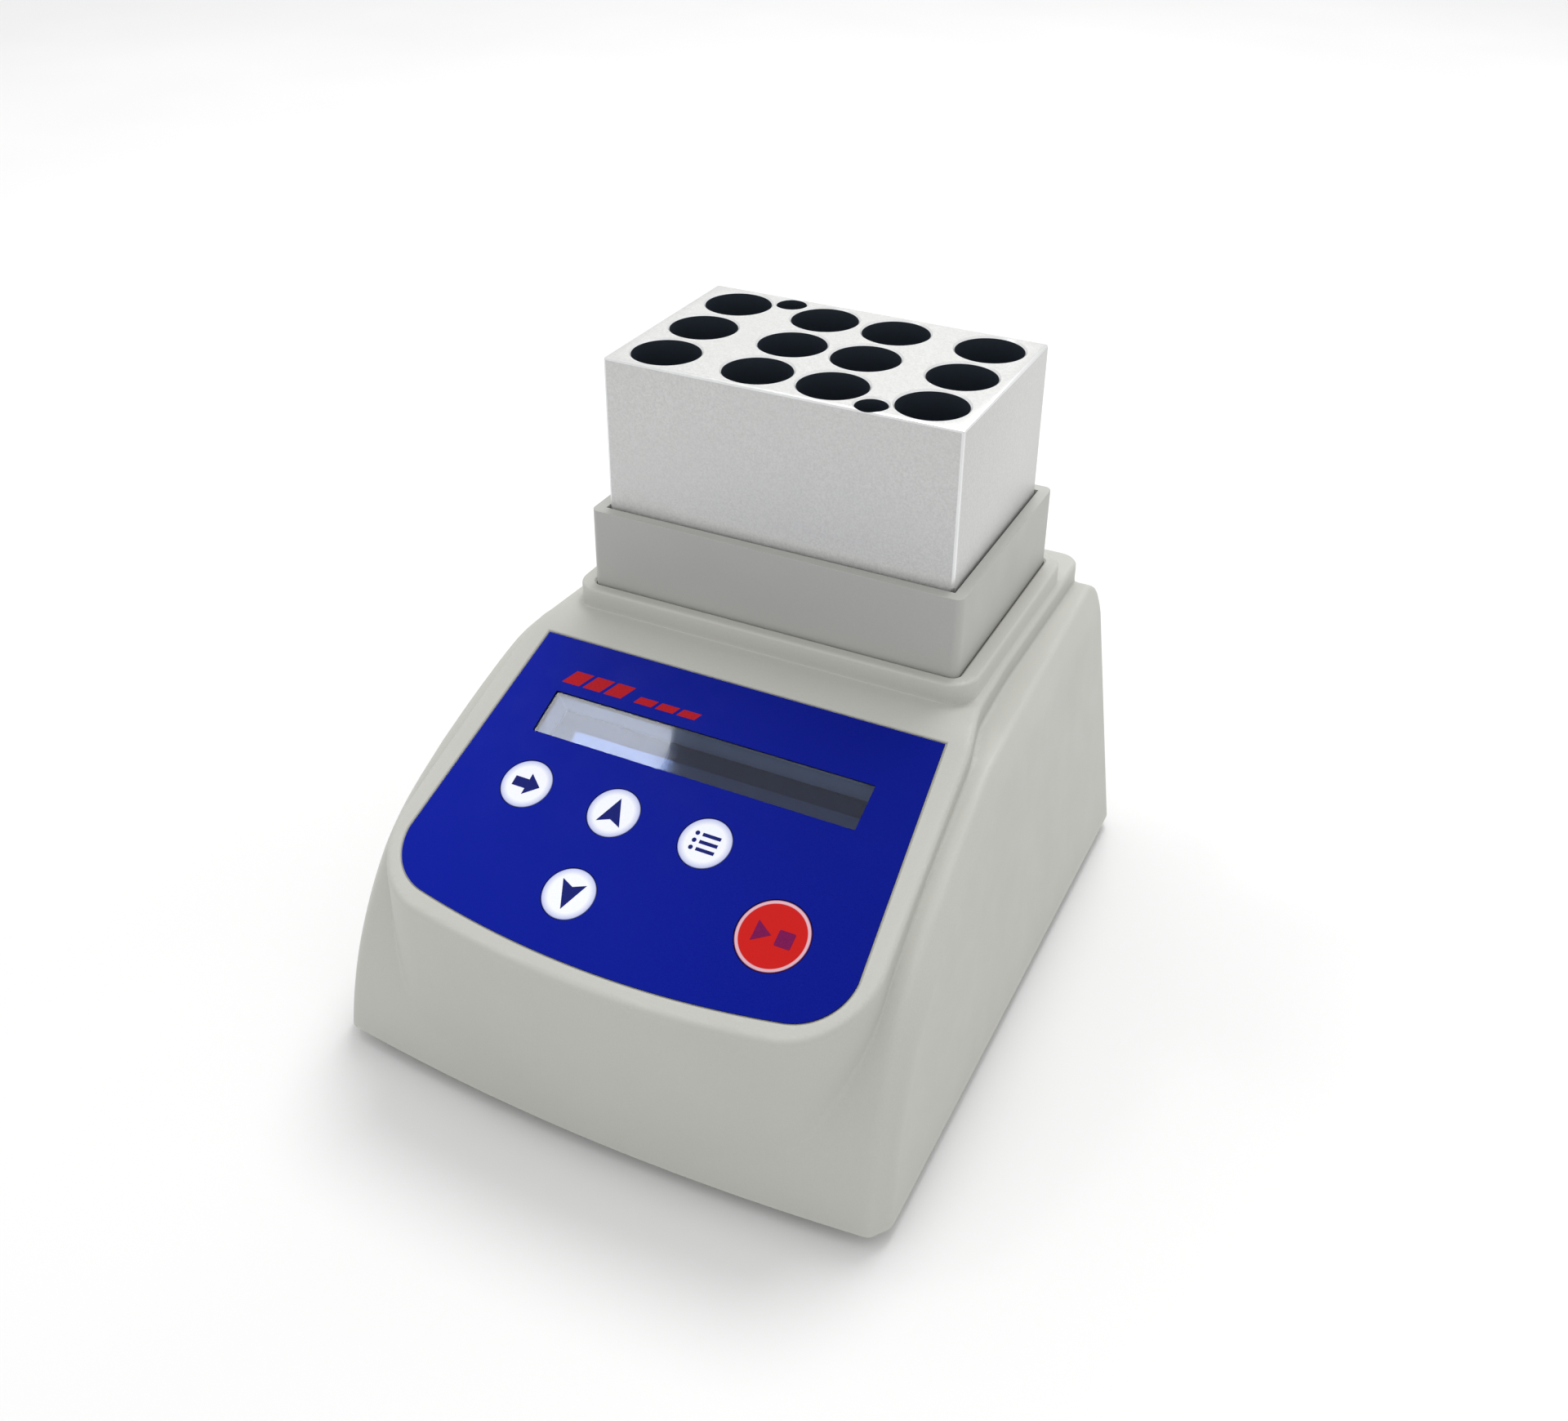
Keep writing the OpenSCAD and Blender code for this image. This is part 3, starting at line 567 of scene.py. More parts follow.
def make_finishes(colours):
    """Every finish by the name of its slot."""
    return {
        "housing": moulded_plastic("housing_plastic", colours.housing),
        "base": moulded_plastic("base_plastic", (0.52, 0.52, 0.49), 0.4, 0.014, 0.6),
        "rubber": moulded_plastic("foot_rubber", (0.020, 0.020, 0.022), 0.22, 0.02, 0.8, 0.1, 0.3),
        "screw_steel": brushed_metal("zinc_steel", (0.62, 0.63, 0.65), (6.0, 6.0, 1.0)),
        "collar": moulded_plastic("collar_plastic", colours.collar, 0.26, 0.008, 0.46, 0.03, 0.25),
        "block": blasted_metal("blasted_aluminium", colours.block, metallic=0.35, vary=0.09),
        # Painted shade: near-black metal on the bores' walls for the shade inside the holes.
        "well": blasted_metal("bore_painted_shade", colours.well, 0.2, 0.01, 0.5, 0.35),
        "edge": brushed_metal("cut_edge", colours.edge, rough=0.34),
        "plate": blasted_metal("heater_aluminium", (0.66, 0.67, 0.68), 0.5, 0.01, 0.38),
        "heating_film": print_film("heater_foil_painted_sheen", (0.50, 0.12, 0.04), 0.4),
        "insulation": fibre("insulation_felt", (0.78, 0.75, 0.66)),
        "sheet_metal": brushed_metal("carrier_steel", (0.55, 0.56, 0.58)),
        "brass": brushed_metal("turned_brass", (0.72, 0.55, 0.24), (6.0, 6.0, 1.0)),
        "film": print_film("panel_print_painted_sheen", colours.film),
        # Painted shadow: near-black ink on the film's bevelled edge and walls, standing for the
        # shade in the gap round the film.
        "film_shadow_edge": ink("film_edge_painted_shadow", shade(colours.film, 0.12)),
        "accent": ink("accent_ink", colours.accent),
        "clear": clear_plate("clear_window"),
        "display": display_cells("display_glass_dark", (0.007, 0.015, 0.042)),
        "display_frame": blasted_metal("display_frame_metal", (0.34, 0.35, 0.37), 0.3, 0.01, 0.4),
        "board": circuit_board("board_green", (0.020, 0.130, 0.055)),
        "black_plastic": moulded_plastic("black_plastic", (0.018, 0.018, 0.020), 0.3, 0.010, 0.42,
                                         0.10, 0.15),
        "key_white": key_cap("white_key_print", tuple(colours.key), tuple(colours.key_rim)),
        "key_red": key_cap("red_key_print", tuple(colours.start), (0.10, 0.01, 0.08),
                           tuple(colours.start_ring), 0.885),
        "mark": ink("navy_ink", colours.mark),
        "start_mark": ink("plum_ink", colours.start_mark),
        "pale_mark": ink("pale_ink", (0.62, 0.62, 0.60)),
        "ribbon": moulded_plastic("ribbon_jacket", (0.42, 0.44, 0.48), 0.5, 0.01, 0.5),
        "header": moulded_plastic("header_plastic", (0.74, 0.72, 0.64), 0.3, 0.01, 0.45),
        "capacitor": moulded_plastic("capacitor_sleeve", (0.012, 0.018, 0.085), 0.6, 0.006, 0.3),
        "dark_metal": brushed_metal("anodised_fins", (0.10, 0.105, 0.115), (1.0, 1.0, 14.0), 0.4),
    }


FINISHES = {}


def finish_of(slot):
    """The finish for a slot, with all finishes made on first use."""
    if not FINISHES:
        FINISHES.update(make_finishes(bpy.context.scene.heater_colours))
    return FINISHES[slot]


# --- The housing's form ---

# Fixed sizes of the form, in millimetres unless they say otherwise.
PANEL_TO_BLOCK = 36.5      # panel's upper edge to the block's middle
BODY_BOW = 235.0           # radius of the centre body's bowed front
BODY_SETBACK = 0.2         # centre body's front behind the shell's
BODY_REAR_CORNER = 4.0     # radius of the centre body's rear corners
BODY_WIDEST = 14.0         # from the front to where the centre body starts to narrow
# How the centre body narrows: place behind the panel's upper edge, and narrowing of a side.
BODY_TAPER = ((0.0, 2.0), (11.0, 4.6), (27.0, 5.3))
TAPER_STATIONS = 600       # places where the taper is worked out
TAPER_EASE = 45            # stations over which its corners are eased
ARCH_LEAN = 5.0            # degrees that the arched front leans in at its foot
ARCH_TO_ROOF = 5.0         # band over which the arch runs into the slope
BOW_FADE = (62.0, 30.0)    # degrees up the arch where the bow is gone, and over how many
BOW_INSET = 3.5            # from a side to where the bow ends
SIDE_DRAFT = (0.06, 0.08)  # lean of the sides at the front, and how much more at the rear
DRAFT_START = 35.0         # from the front to where the lean starts to grow
CREASE_FRONT = 40.0        # the crease starts to soften this far ahead of the middle
CREASE_RUN = 33.0          # and does so over this length
CREASE_IN = (2.65, -0.8)   # inward size of the crease at its front, and its change
CREASE_DOWN = (3.6, 1.4)   # downward size of the crease at its front, and its change
CREASE_EASE = 0.7          # band over which the crease meets the faces
REAR_CORNER = 3.0          # radius of the shell's rear corners
REAR_EDGE = 4.2            # radius of the shell's upper rear edge
LID_EASE = 0.5             # band over which the top meets the walls
BLOCK_GAP = 5.4            # opening wider than the block by this
PLINTH_SHORT = 0.5         # plinth shorter than its margin at the front and rear
PLINTH_CORNER = 5.0        # radius of the plinth's corners
PLINTH_EDGE = 0.6          # radius of the plinth's upper edge
PLINTH_ROOT = 6.0          # plinth's foot below the flat top
SKIN_BELOW = 2.0           # skin carried on below the lower edge, then cut off
HOLLOW_BELOW = 4.0         # and the hollow inside it


def smooth_max(a, b, k):
    """The larger of two distances, rounded over a band of width k."""
    h = np.maximum(k - np.abs(a - b), 0.0) / k
    return np.maximum(a, b) + h * h * k * 0.25


def smooth_min(a, b, k):
    """The smaller of two distances, filleted over a band of width k."""
    return -smooth_max(-a, -b, k)


def round_max(a, b, radius):
    """Where two faces meet, an edge of a radius."""
    corner = np.hypot(np.maximum(a + radius, 0.0), np.maximum(b + radius, 0.0)) - radius
    return np.minimum(np.maximum(a, b), -radius) + np.where(
        np.maximum(a, b) > -radius, corner + radius, 0.0)


class HousingForm:
    """Signed distances, in millimetres, to the housing's outer faces."""

    def __init__(self, sizes):
        low, high = (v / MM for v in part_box("upper_housing"))
        self.half, self.front, self.rear, self.base = high.x, low.y, high.y, low.z
        self.block_y = (middle("heating_block") / MM).y
        self.slope = sizes.slope
        self.plinth_z = high.z
        self.top_z = high.z - sizes.plinth_height / MM
        self.blend = sizes.blend_radius / MM
        self.panel_z = self.top_z - self.blend * (1 - math.cos(self.slope))
        self.panel_y = self.block_y - PANEL_TO_BLOCK
        self.top_y = self.panel_y + self.blend * math.sin(self.slope)
        self.drop = sizes.ledge_drop / MM
        self.arch_r = sizes.arch_radius / MM
        self.bow = sizes.bow / MM
        lean = math.radians(ARCH_LEAN)
        self.arch_y = self.front + self.bow + self.arch_r * math.cos(lean)
        self.arch_z = self.base - self.arch_r * math.sin(lean)
        self.ledge = sizes.ledge_width / MM
        self.corner = sizes.front_corner / MM
        self.round = sizes.edge_round / MM
        self.fillet = sizes.foot_fillet / MM
        self.wall = sizes.wall / MM
        opening = (extent("heating_block") / MM).xy + Vector((BLOCK_GAP, BLOCK_GAP))
        self.plinth = (opening.x / 2 + sizes.plinth_margin / MM,
                       opening.y / 2 + sizes.plinth_margin / MM - PLINTH_SHORT)
        side = self.half - self.ledge
        places = [self.front + BODY_WIDEST, *(self.panel_y + y for y, _ in BODY_TAPER), self.rear]
        narrowing = [0.0, *(inward for _, inward in BODY_TAPER), BODY_TAPER[-1][1]]
        self.stations = np.linspace(self.front - 10, self.rear + 10, TAPER_STATIONS)
        halves = np.interp(self.stations, places, [side - inward for inward in narrowing])
        window = np.hanning(TAPER_EASE)
        padded = np.pad(halves, TAPER_EASE // 2, mode="edge")
        self.halves = np.convolve(padded, window / window.sum(), mode="valid")

    def roof(self, y, z):
        """Distance to the slope, the blend and the flat top."""
        c, s = math.cos(self.slope), math.sin(self.slope)
        dy, dz = y - self.top_y, z - (self.top_z - self.blend)
        on_slope = (z - self.panel_z - (y - self.panel_y) * s / c) * c
        return np.where(dy >= 0, dz - self.blend,
                        np.where(dy * c + dz * s <= 0, on_slope, np.hypot(dy, dz) - self.blend))

    def bow_share(self, x):
        """How far out a place is on the bowed front: 0 at the middle, 1 at a side."""
        return np.clip(np.abs(x) / (self.half - BOW_INSET), 0.0, 1.0)

    def shell(self, x, y, z):
        """Distance to the arched outer shell."""
        share = np.clip((y - self.front - DRAFT_START)
                        / (self.rear - self.front - DRAFT_START), 0.0, 1.0)
        lean, more = SIDE_DRAFT
        side = np.abs(x) - self.half + (z - self.base) * (lean + more * share)
        angle = np.arctan2(np.maximum(z - self.arch_z, 0.0), np.maximum(self.arch_y - y, 1e-6))
        end, band = (math.radians(v) for v in BOW_FADE)
        fade = np.clip((end - angle) / band, 0.0, 1.0)
        fade = fade * fade * (3 - 2 * fade)
        reach = self.bow_share(x)
        bowed = y + self.bow * ((1 - reach * reach) * fade - 1) + self.bow
        arch = np.hypot(np.minimum(bowed - self.arch_y, 0.0), z - self.arch_z) - self.arch_r
        top = smooth_max(arch, self.roof(y, z + self.drop), ARCH_TO_ROOF)
        near = np.clip((y + CREASE_FRONT) / CREASE_RUN, 0.0, 1.0)
        inward, down = (first + change * near for first, change in (CREASE_IN, CREASE_DOWN))
        crease = (top / down + side / inward + 1) / np.hypot(1 / down, 1 / inward)
        back = y - self.rear
        walls = round_max(side, back, REAR_CORNER)
        lid = round_max(top, back, REAR_EDGE)
        return smooth_max(smooth_max(lid, walls, LID_EASE), crease, CREASE_EASE)

    def centre(self, x, y, z):
        """Distance to the centre body that carries the panel."""
        bow = np.hypot(x, y - self.front - BODY_SETBACK - BODY_BOW) - BODY_BOW
        bow = np.where(y < self.front + BODY_BOW, bow, -BODY_BOW)
        side = np.abs(x) - np.interp(y, self.stations, self.halves)
        plan = round_max(round_max(bow, side, self.corner), y - self.rear, BODY_REAR_CORNER)
        return round_max(plan, self.roof(y, z), self.round)

    def outside(self, x, y, z):
        """Distance to the whole outer face, down to the lower edge."""
        body = smooth_min(self.shell(x, y, z), self.centre(x, y, z), self.fillet)
        reach = self.bow_share(x)
        front = self.front + self.bow * reach * reach - y
        body = np.maximum(np.maximum(body, y - self.rear), front)
        dx = np.abs(x) - self.plinth[0]
        dy = np.abs(y - self.block_y) - self.plinth[1]
        plinth = round_max(round_max(dx, dy, PLINTH_CORNER), z - self.plinth_z, PLINTH_EDGE)
        plinth = np.maximum(plinth, self.top_z - PLINTH_ROOT - z)
        body = smooth_min(body, plinth, self.fillet * 0.8)
        return np.maximum(body, self.base - SKIN_BELOW - z)

    def cavity(self, x, y, z):
        """Distance to the hollow inside."""
        body = np.minimum(self.shell(x, y, z), self.centre(x, y, z)) + self.wall
        return np.maximum(body, self.base - HOLLOW_BELOW - z)


def slopes(field, p, step=0.04):
    """Gradient of a field at points."""
    out = np.empty_like(p)
    for axis in range(3):
        ahead, behind = p.copy(), p.copy()
        ahead[:, axis] += step
        behind[:, axis] -= step
        out[:, axis] = (field(*ahead.T) - field(*behind.T)) / (2 * step)
    return out


def crossings(field, values, inside, origin, pitch, axis):
    """Where the level crosses the grid's edges along one axis: edge, place, normal and sense."""
    first = [slice(1, n - 1) for n in values.shape]
    first[axis] = slice(0, values.shape[axis] - 1)
    second = list(first)
    second[axis] = slice(1, values.shape[axis])
    a, b = values[tuple(first)], values[tuple(second)]
    spots = np.argwhere(inside[tuple(first)] != inside[tuple(second)])
    near, far = a[tuple(spots.T)], b[tuple(spots.T)]
    rising = near < 0
    edges = spots.copy()
    for i in range(3):
        if i != axis:
            edges[:, i] += 1
    places = edges * pitch + origin
    start, end = places[:, axis].copy(), places[:, axis] + pitch
    for _ in range(6):
        places[:, axis] = start + (end - start) * near / (near - far)
        value = field(*places.T)
        same = (value < 0) == (near < 0)
        start, near = np.where(same, places[:, axis], start), np.where(same, value, near)
        end, far = np.where(same, end, places[:, axis]), np.where(same, far, value)
    normals = slopes(field, places, 0.01)
    normals /= np.maximum(np.linalg.norm(normals, axis=1, keepdims=True), 1e-9)
    return edges, places, normals, rising


def net_over(field, low, high, pitch, name):
    """Meshes the zero level of a field: one point a cell, drawn to the creases that cross it."""
    half_x = int(math.ceil(high[0] / pitch)) + 1
    xs = np.arange(-half_x, half_x + 1) * pitch
    ys = np.arange(low[1] - pitch * 1.5, high[1] + pitch * 2, pitch)
    zs = np.arange(low[2] - pitch * 1.37, high[2] + pitch * 2, pitch)
    values = field(*np.meshgrid(xs, ys, zs, indexing="ij"))
    inside = values < 0
    origin = np.array([xs[0], ys[0], zs[0]])
    shape = tuple(n - 1 for n in values.shape)
    rings, cells, places, normals = [], [], [], []
    for axis in range(3):
        u, v = (axis + 1) % 3, (axis + 2) % 3
        edges, place, normal, rising = crossings(field, values, inside, origin, pitch, axis)
        ring = []
        for du, dv in ((-1, -1), (0, -1), (0, 0), (-1, 0)):
            cell = edges.copy()
            cell[:, u] += du
            cell[:, v] += dv
            ring.append(np.ravel_multi_index(cell.T, shape))
            cells.append(ring[-1])
            places.append(place)
            normals.append(normal)
        ring = np.stack(ring, 1)
        ring[~rising] = ring[~rising][:, ::-1]
        rings.append(ring)
    cells, places, normals = (np.concatenate(v) for v in (cells, places, normals))
    used, index = np.unique(cells, return_inverse=True)
    count = np.bincount(index)

    def total(values):
        return np.bincount(index, values, len(used))

    centre = np.stack([total(places[:, i]) / count for i in range(3)], 1)
    offset = (normals * (places - centre[index])).sum(1)
    squares = np.empty((len(used), 3, 3))
    for i in range(3):
        for j in range(3):
            squares[:, i, j] = total(normals[:, i] * normals[:, j])
    hold = 0.08     # keeps a point near its cell's middle where no crease pulls it
    squares += np.eye(3) * hold
    sides = np.stack([total(normals[:, i] * offset) for i in range(3)], 1)
    move = np.linalg.solve(squares, sides[..., None])[..., 0]
    corner = np.stack(np.unravel_index(used, shape), 1) * pitch + origin
    points = np.clip(centre + move, corner - 0.1 * pitch, corner + 1.1 * pitch)
    for _ in range(2):
        value, slope = field(*points.T), slopes(field, points)
        points -= slope * (value / np.maximum((slope ** 2).sum(1), 0.3))[:, None]
    faces = np.searchsorted(used, np.concatenate(rings))
    mesh = bpy.data.meshes.new(name)
    mesh.vertices.add(len(points))
    mesh.vertices.foreach_set("co", (points * MM).ravel())
    mesh.loops.add(faces.size)
    mesh.loops.foreach_set("vertex_index", faces.ravel().astype(np.int32))
    mesh.polygons.add(len(faces))
    mesh.polygons.foreach_set("loop_start", np.arange(0, faces.size, 4, dtype=np.int32))
    mesh.update(calc_edges=True)
    mesh.validate()
    return mesh


def true_normals(mesh, field, reach=0.08):
    """Gives faces that lie on a field the field's own normals, and leaves cut faces flat."""
    same_face, near_flat = 0.985, 0.88      # cosines between normals that belong together
    points = np.empty(len(mesh.vertices) * 3)
    mesh.vertices.foreach_get("co", points)
    points = points.reshape(-1, 3) / MM
    on_skin = np.abs(field(*points.T)) < reach
    count, loops = len(mesh.polygons), len(mesh.loops)
    flat, middles = np.empty(count * 3), np.empty(count * 3)
    mesh.polygons.foreach_get("normal", flat)
    mesh.polygons.foreach_get("center", middles)
    size = np.empty(count, np.int32)
    mesh.polygons.foreach_get("loop_total", size)
    owner = np.repeat(np.arange(count), size)
    corner = np.empty(loops, np.int32)
    mesh.loops.foreach_get("vertex_index", corner)
    normals = flat.reshape(-1, 3)[owner]
    middles = middles.reshape(-1, 3)[owner] / MM

    def unit(places):
        slope = slopes(field, places, 0.02)
        return slope / np.maximum(np.linalg.norm(slope, axis=1, keepdims=True), 1e-9)

    at_corner = unit(points)[corner]
    inward = unit(points[corner] * 0.65 + middles * 0.35)
    agree = (at_corner * inward).sum(1) > same_face
    wanted = np.where(agree[:, None], at_corner, inward)
    good = on_skin[corner] & ((wanted * normals).sum(1) > near_flat)
    normals[good] = wanted[good]
    mesh.polygons.foreach_set("use_smooth", np.ones(count, bool))
    mesh.normals_split_custom_set([tuple(n) for n in normals])


# --- The panel's plane ---

FILM_SIDE = 4.5           # centre body left beside the film at its upper edge
FILM_FRONT = 3.3          # and ahead of it
FILM_FLARE = 0.0665       # how much a side of the film widens per millimetre down the slope
FLARE_END = 14.0          # from the film's front edge to where the widening ends


class PanelPlane:
    """Outlines and places on the sloped panel: u across, v down the slope, depth below it."""

    def __init__(self, sizes, form):
        self.place = (Matrix.Translation(Vector((0.0, form.panel_y, form.panel_z)) * MM)
                      @ Matrix.Rotation(form.slope, 4, "X"))
        self.half = form.half - form.ledge - BODY_TAPER[0][1] - FILM_SIDE
        self.length = (form.panel_y - form.front) / math.cos(form.slope) - FILM_FRONT
        self.corner = sizes.film_corner / MM
        self.bow = sizes.film_bow / MM
        self.recess = sizes.recess / MM
        self.gap = sizes.film_gap / MM
        self.window = (sizes.window_width / MM, sizes.window_height / MM)
        self.window_v = sizes.window_place / MM
        self.depth = sizes.display_depth / MM

    def film(self, inset):
        """Outline of the film, inset from the recess's edge."""
        side = self.half + FILM_FLARE * (self.length - FLARE_END)
        radius = self.corner
        tilt = math.degrees(math.asin((side - radius) / (self.bow - radius)))
        centre_y = -self.length + self.bow - (self.bow - radius) * math.cos(math.radians(tilt))
        right = arc((0, -self.length + self.bow), self.bow - inset, -90, -90 + tilt, 20)
        right += arc((side - radius, centre_y), radius - inset, -90 + tilt, -2, 20)[1:]
        right += [(self.half - inset, -inset)]
        return right + [(-x, y) for x, y in reversed(right)][:-1]

    def to_panel(self, point):
        """u, v of a point in metres."""
        local = self.place.inverted() @ point
        return local.x / MM, -local.y / MM


def shapes():
    """The housing's form and the panel's plane from the current sizes."""
    form = HousingForm(bpy.context.scene.heater_housing)
    return form, PanelPlane(bpy.context.scene.heater_panel, form)


KEYS = ("key_next", "key_up", "key_program", "key_down", "key_start")


def key_place(node, plane):
    """Where a key sits on the panel, and its cap's radius, in millimetres."""
    return (*plane.to_panel(cap_middle(node, plane)), extent(node).x / MM / 2)


def cap_middle(node, plane):
    """Middle of a key's cap: its points nearest to the panel."""
    back = plane.place.inverted()
    near = [v.co for v in NODES[node].data.vertices if (back @ v.co).z > -1.0 * MM]
    low = Vector([min(p[i] for p in near) for i in range(3)])
    high = Vector([max(p[i] for p in near) for i in range(3)])
    return (low + high) / 2


# --- Geometry node trees ---

class Tree:
    """Builds a geometry node tree with named inputs."""

    def __init__(self, name, inputs):
        self.tree = bpy.data.node_groups.new(name, "GeometryNodeTree")
        face = self.tree.interface
        face.new_socket("Geometry", in_out="INPUT", socket_type="NodeSocketGeometry")
        self.ids = {}
        for label, kind, value in inputs:
            socket = face.new_socket(label, in_out="INPUT", socket_type="NodeSocket" + kind)
            if value is not None:
                socket.default_value = value
            self.ids[label] = socket.identifier
        face.new_socket("Geometry", in_out="OUTPUT", socket_type="NodeSocketGeometry")
        self.inputs = self.tree.nodes.new("NodeGroupInput").outputs

    def add(self, kind, inputs=None, **settings):
        """Adds a node and returns its first output."""
        node = self.tree.nodes.new(kind)
        for key, value in settings.items():
            setattr(node, key, value)
        for key, value in (inputs or {}).items():
            for single in value if isinstance(value, list) else [value]:
                if isinstance(single, bpy.types.NodeSocket):
                    self.tree.links.new(single, node.inputs[key])
                else:
                    node.inputs[key].default_value = single
        return node.outputs[0]

    def maths(self, operation, a, b):
        """A sum, difference, product or quotient."""
        return self.add("ShaderNodeMath", {0: a, 1: b}, operation=operation)

    def vector(self, x=0.0, y=0.0, z=0.0):
        """A vector from three values."""
        return self.add("ShaderNodeCombineXYZ", {0: x, 1: y, 2: z})

    def moved(self, shape, x=0.0, y=0.0, z=0.0):
        """A shape moved by three values."""
        return self.add("GeometryNodeTransform", {0: shape, "Translation": self.vector(x, y, z)})

    def joined(self, *parts):
        """Shapes in one."""
        return self.add("GeometryNodeJoinGeometry", {0: list(parts)})

    def tagged(self, shape, region):
        """A shape whose faces carry a region number."""
        return self.add("GeometryNodeStoreNamedAttribute",
                        {0: shape, "Name": "region", "Value": region},
                        data_type="INT", domain="FACE")

    def cut(self, body, *tools):
        """A shape with others taken away."""
        return self.add("GeometryNodeMeshBoolean", {0: body, 1: list(tools)}, solver="EXACT")

    def end(self, shape, materials):
        """Realises the result and gives each region its material."""
        shape = self.add("GeometryNodeRealizeInstances", {0: shape})
        region = self.add("GeometryNodeInputNamedAttribute", {"Name": "region"}, data_type="INT")
        for number, material in enumerate(materials):
            chosen = self.add("FunctionNodeCompare", {2: region, 3: number},
                              data_type="INT", operation="EQUAL")
            shape = self.add("GeometryNodeSetMaterial",
                             {0: shape, "Selection": chosen, "Material": material})
        self.tree.links.new(shape, self.tree.nodes.new("NodeGroupOutput").inputs[0])

    def run(self, piece, values):
        """Puts the tree on a piece, sets its inputs and works it into the mesh."""
        change = piece.modifiers.new("shape", "NODES")
        change.node_group = self.tree
        for label, value in values.items():
            change[self.ids[label]] = value
        return settle(piece)


def wells_tree():
    """Bores a block: rows of wells with coned ends and two small holes, with chamfered rims."""
    well_sides, tool_sides = 64, 40
    lengths = ("Well Radius", "Well Depth", "Inner Pitch", "Outer Pitch", "Row Pitch",
               "Tool Radius", "Tool X", "Tool Y", "Tool Depth", "Rim", "Top", "Middle Y")
    tree = Tree("bored_block", [(n, "Float", 0.0) for n in lengths] + [
        (n, "Material", None) for n in ("Block Finish", "Well Shade Finish", "Edge Finish")])
    get = tree.inputs
    inner = tree.maths("MULTIPLY", get["Inner Pitch"], -0.5)
    outer = tree.maths("SUBTRACT", inner, get["Outer Pitch"])
    columns = [tree.add("GeometryNodeMeshLine", {
        "Count": 2, "Start Location": tree.vector(start, get["Middle Y"], get["Top"]),
        "Offset": tree.vector(tree.maths("MULTIPLY", start, -2.0))}) for start in (inner, outer)]
    rows = tree.add("GeometryNodeMeshLine", {
        "Count": 3, "Offset": tree.vector(0.0, get["Row Pitch"]),
        "Start Location": tree.vector(0.0, tree.maths("MULTIPLY", get["Row Pitch"], -1.0))})
    spots = tree.add("GeometryNodeInstanceOnPoints",
                     {"Points": tree.joined(*columns), "Instance": rows})
    spots = tree.add("GeometryNodeRealizeInstances", {0: spots})
    tool_spots = []
    for sign in (1.0, -1.0):
        x = tree.maths("MULTIPLY", get["Tool X"], sign)
        y = tree.add("ShaderNodeMath", {0: get["Tool Y"], 1: -sign, 2: get["Middle Y"]},
                     operation="MULTIPLY_ADD")
        tool_spots.append(tree.add("GeometryNodeMeshLine", {
            "Count": 1, "Start Location": tree.vector(x, y, get["Top"])}))
    tool_spots = tree.joined(*tool_spots)

    def bore(radius, depth, sides):
        above = 1.0 * MM
        tall = tree.maths("ADD", depth, above)
        tube = tree.add("GeometryNodeMeshCylinder",
                        {"Vertices": sides, "Radius": radius, "Depth": tall})
        return tree.tagged(tree.moved(tube, z=tree.maths(
            "SUBTRACT", above, tree.maths("MULTIPLY", tall, 0.5))), 1)

    def flare(radius, sides):
        rise = 0.4 * MM
        wide = tree.maths("ADD", tree.maths("ADD", radius, get["Rim"]), rise)
        cone = tree.add("GeometryNodeMeshCone", {
            "Vertices": sides, "Radius Bottom": radius, "Radius Top": wide,
            "Depth": tree.maths("ADD", get["Rim"], rise)})
        return tree.tagged(tree.moved(cone, z=tree.maths("MULTIPLY", get["Rim"], -1.0)), 2)

    end_depth, end_radius = 3.0 * MM, 2.0 * MM
    tip = tree.add("GeometryNodeMeshCone", {
        "Vertices": well_sides, "Radius Top": get["Well Radius"], "Radius Bottom": end_radius,
        "Depth": end_depth})
    tip = tree.tagged(tree.moved(tip, z=tree.maths(
        "SUBTRACT", tree.maths("MULTIPLY", get["Well Depth"], -1.0), end_depth - 0.01 * MM)), 1)

    def on(points, shape):
        placed = tree.add("GeometryNodeInstanceOnPoints", {"Points": points, "Instance": shape})
        return tree.add("GeometryNodeRealizeInstances", {0: placed})

    body = tree.cut(get["Geometry"],
                    on(spots, bore(get["Well Radius"], get["Well Depth"], well_sides)),
                    on(tool_spots, bore(get["Tool Radius"], get["Tool Depth"], tool_sides)))
    body = tree.cut(body, on(spots, tip))
    body = tree.cut(body, on(spots, flare(get["Well Radius"], well_sides)),
                    on(tool_spots, flare(get["Tool Radius"], tool_sides)))
    # Region 1, the bores and their coned ends, takes the near-black painted shade.
    tree.end(body, [get["Block Finish"], get["Well Shade Finish"], get["Edge Finish"]])
    return tree


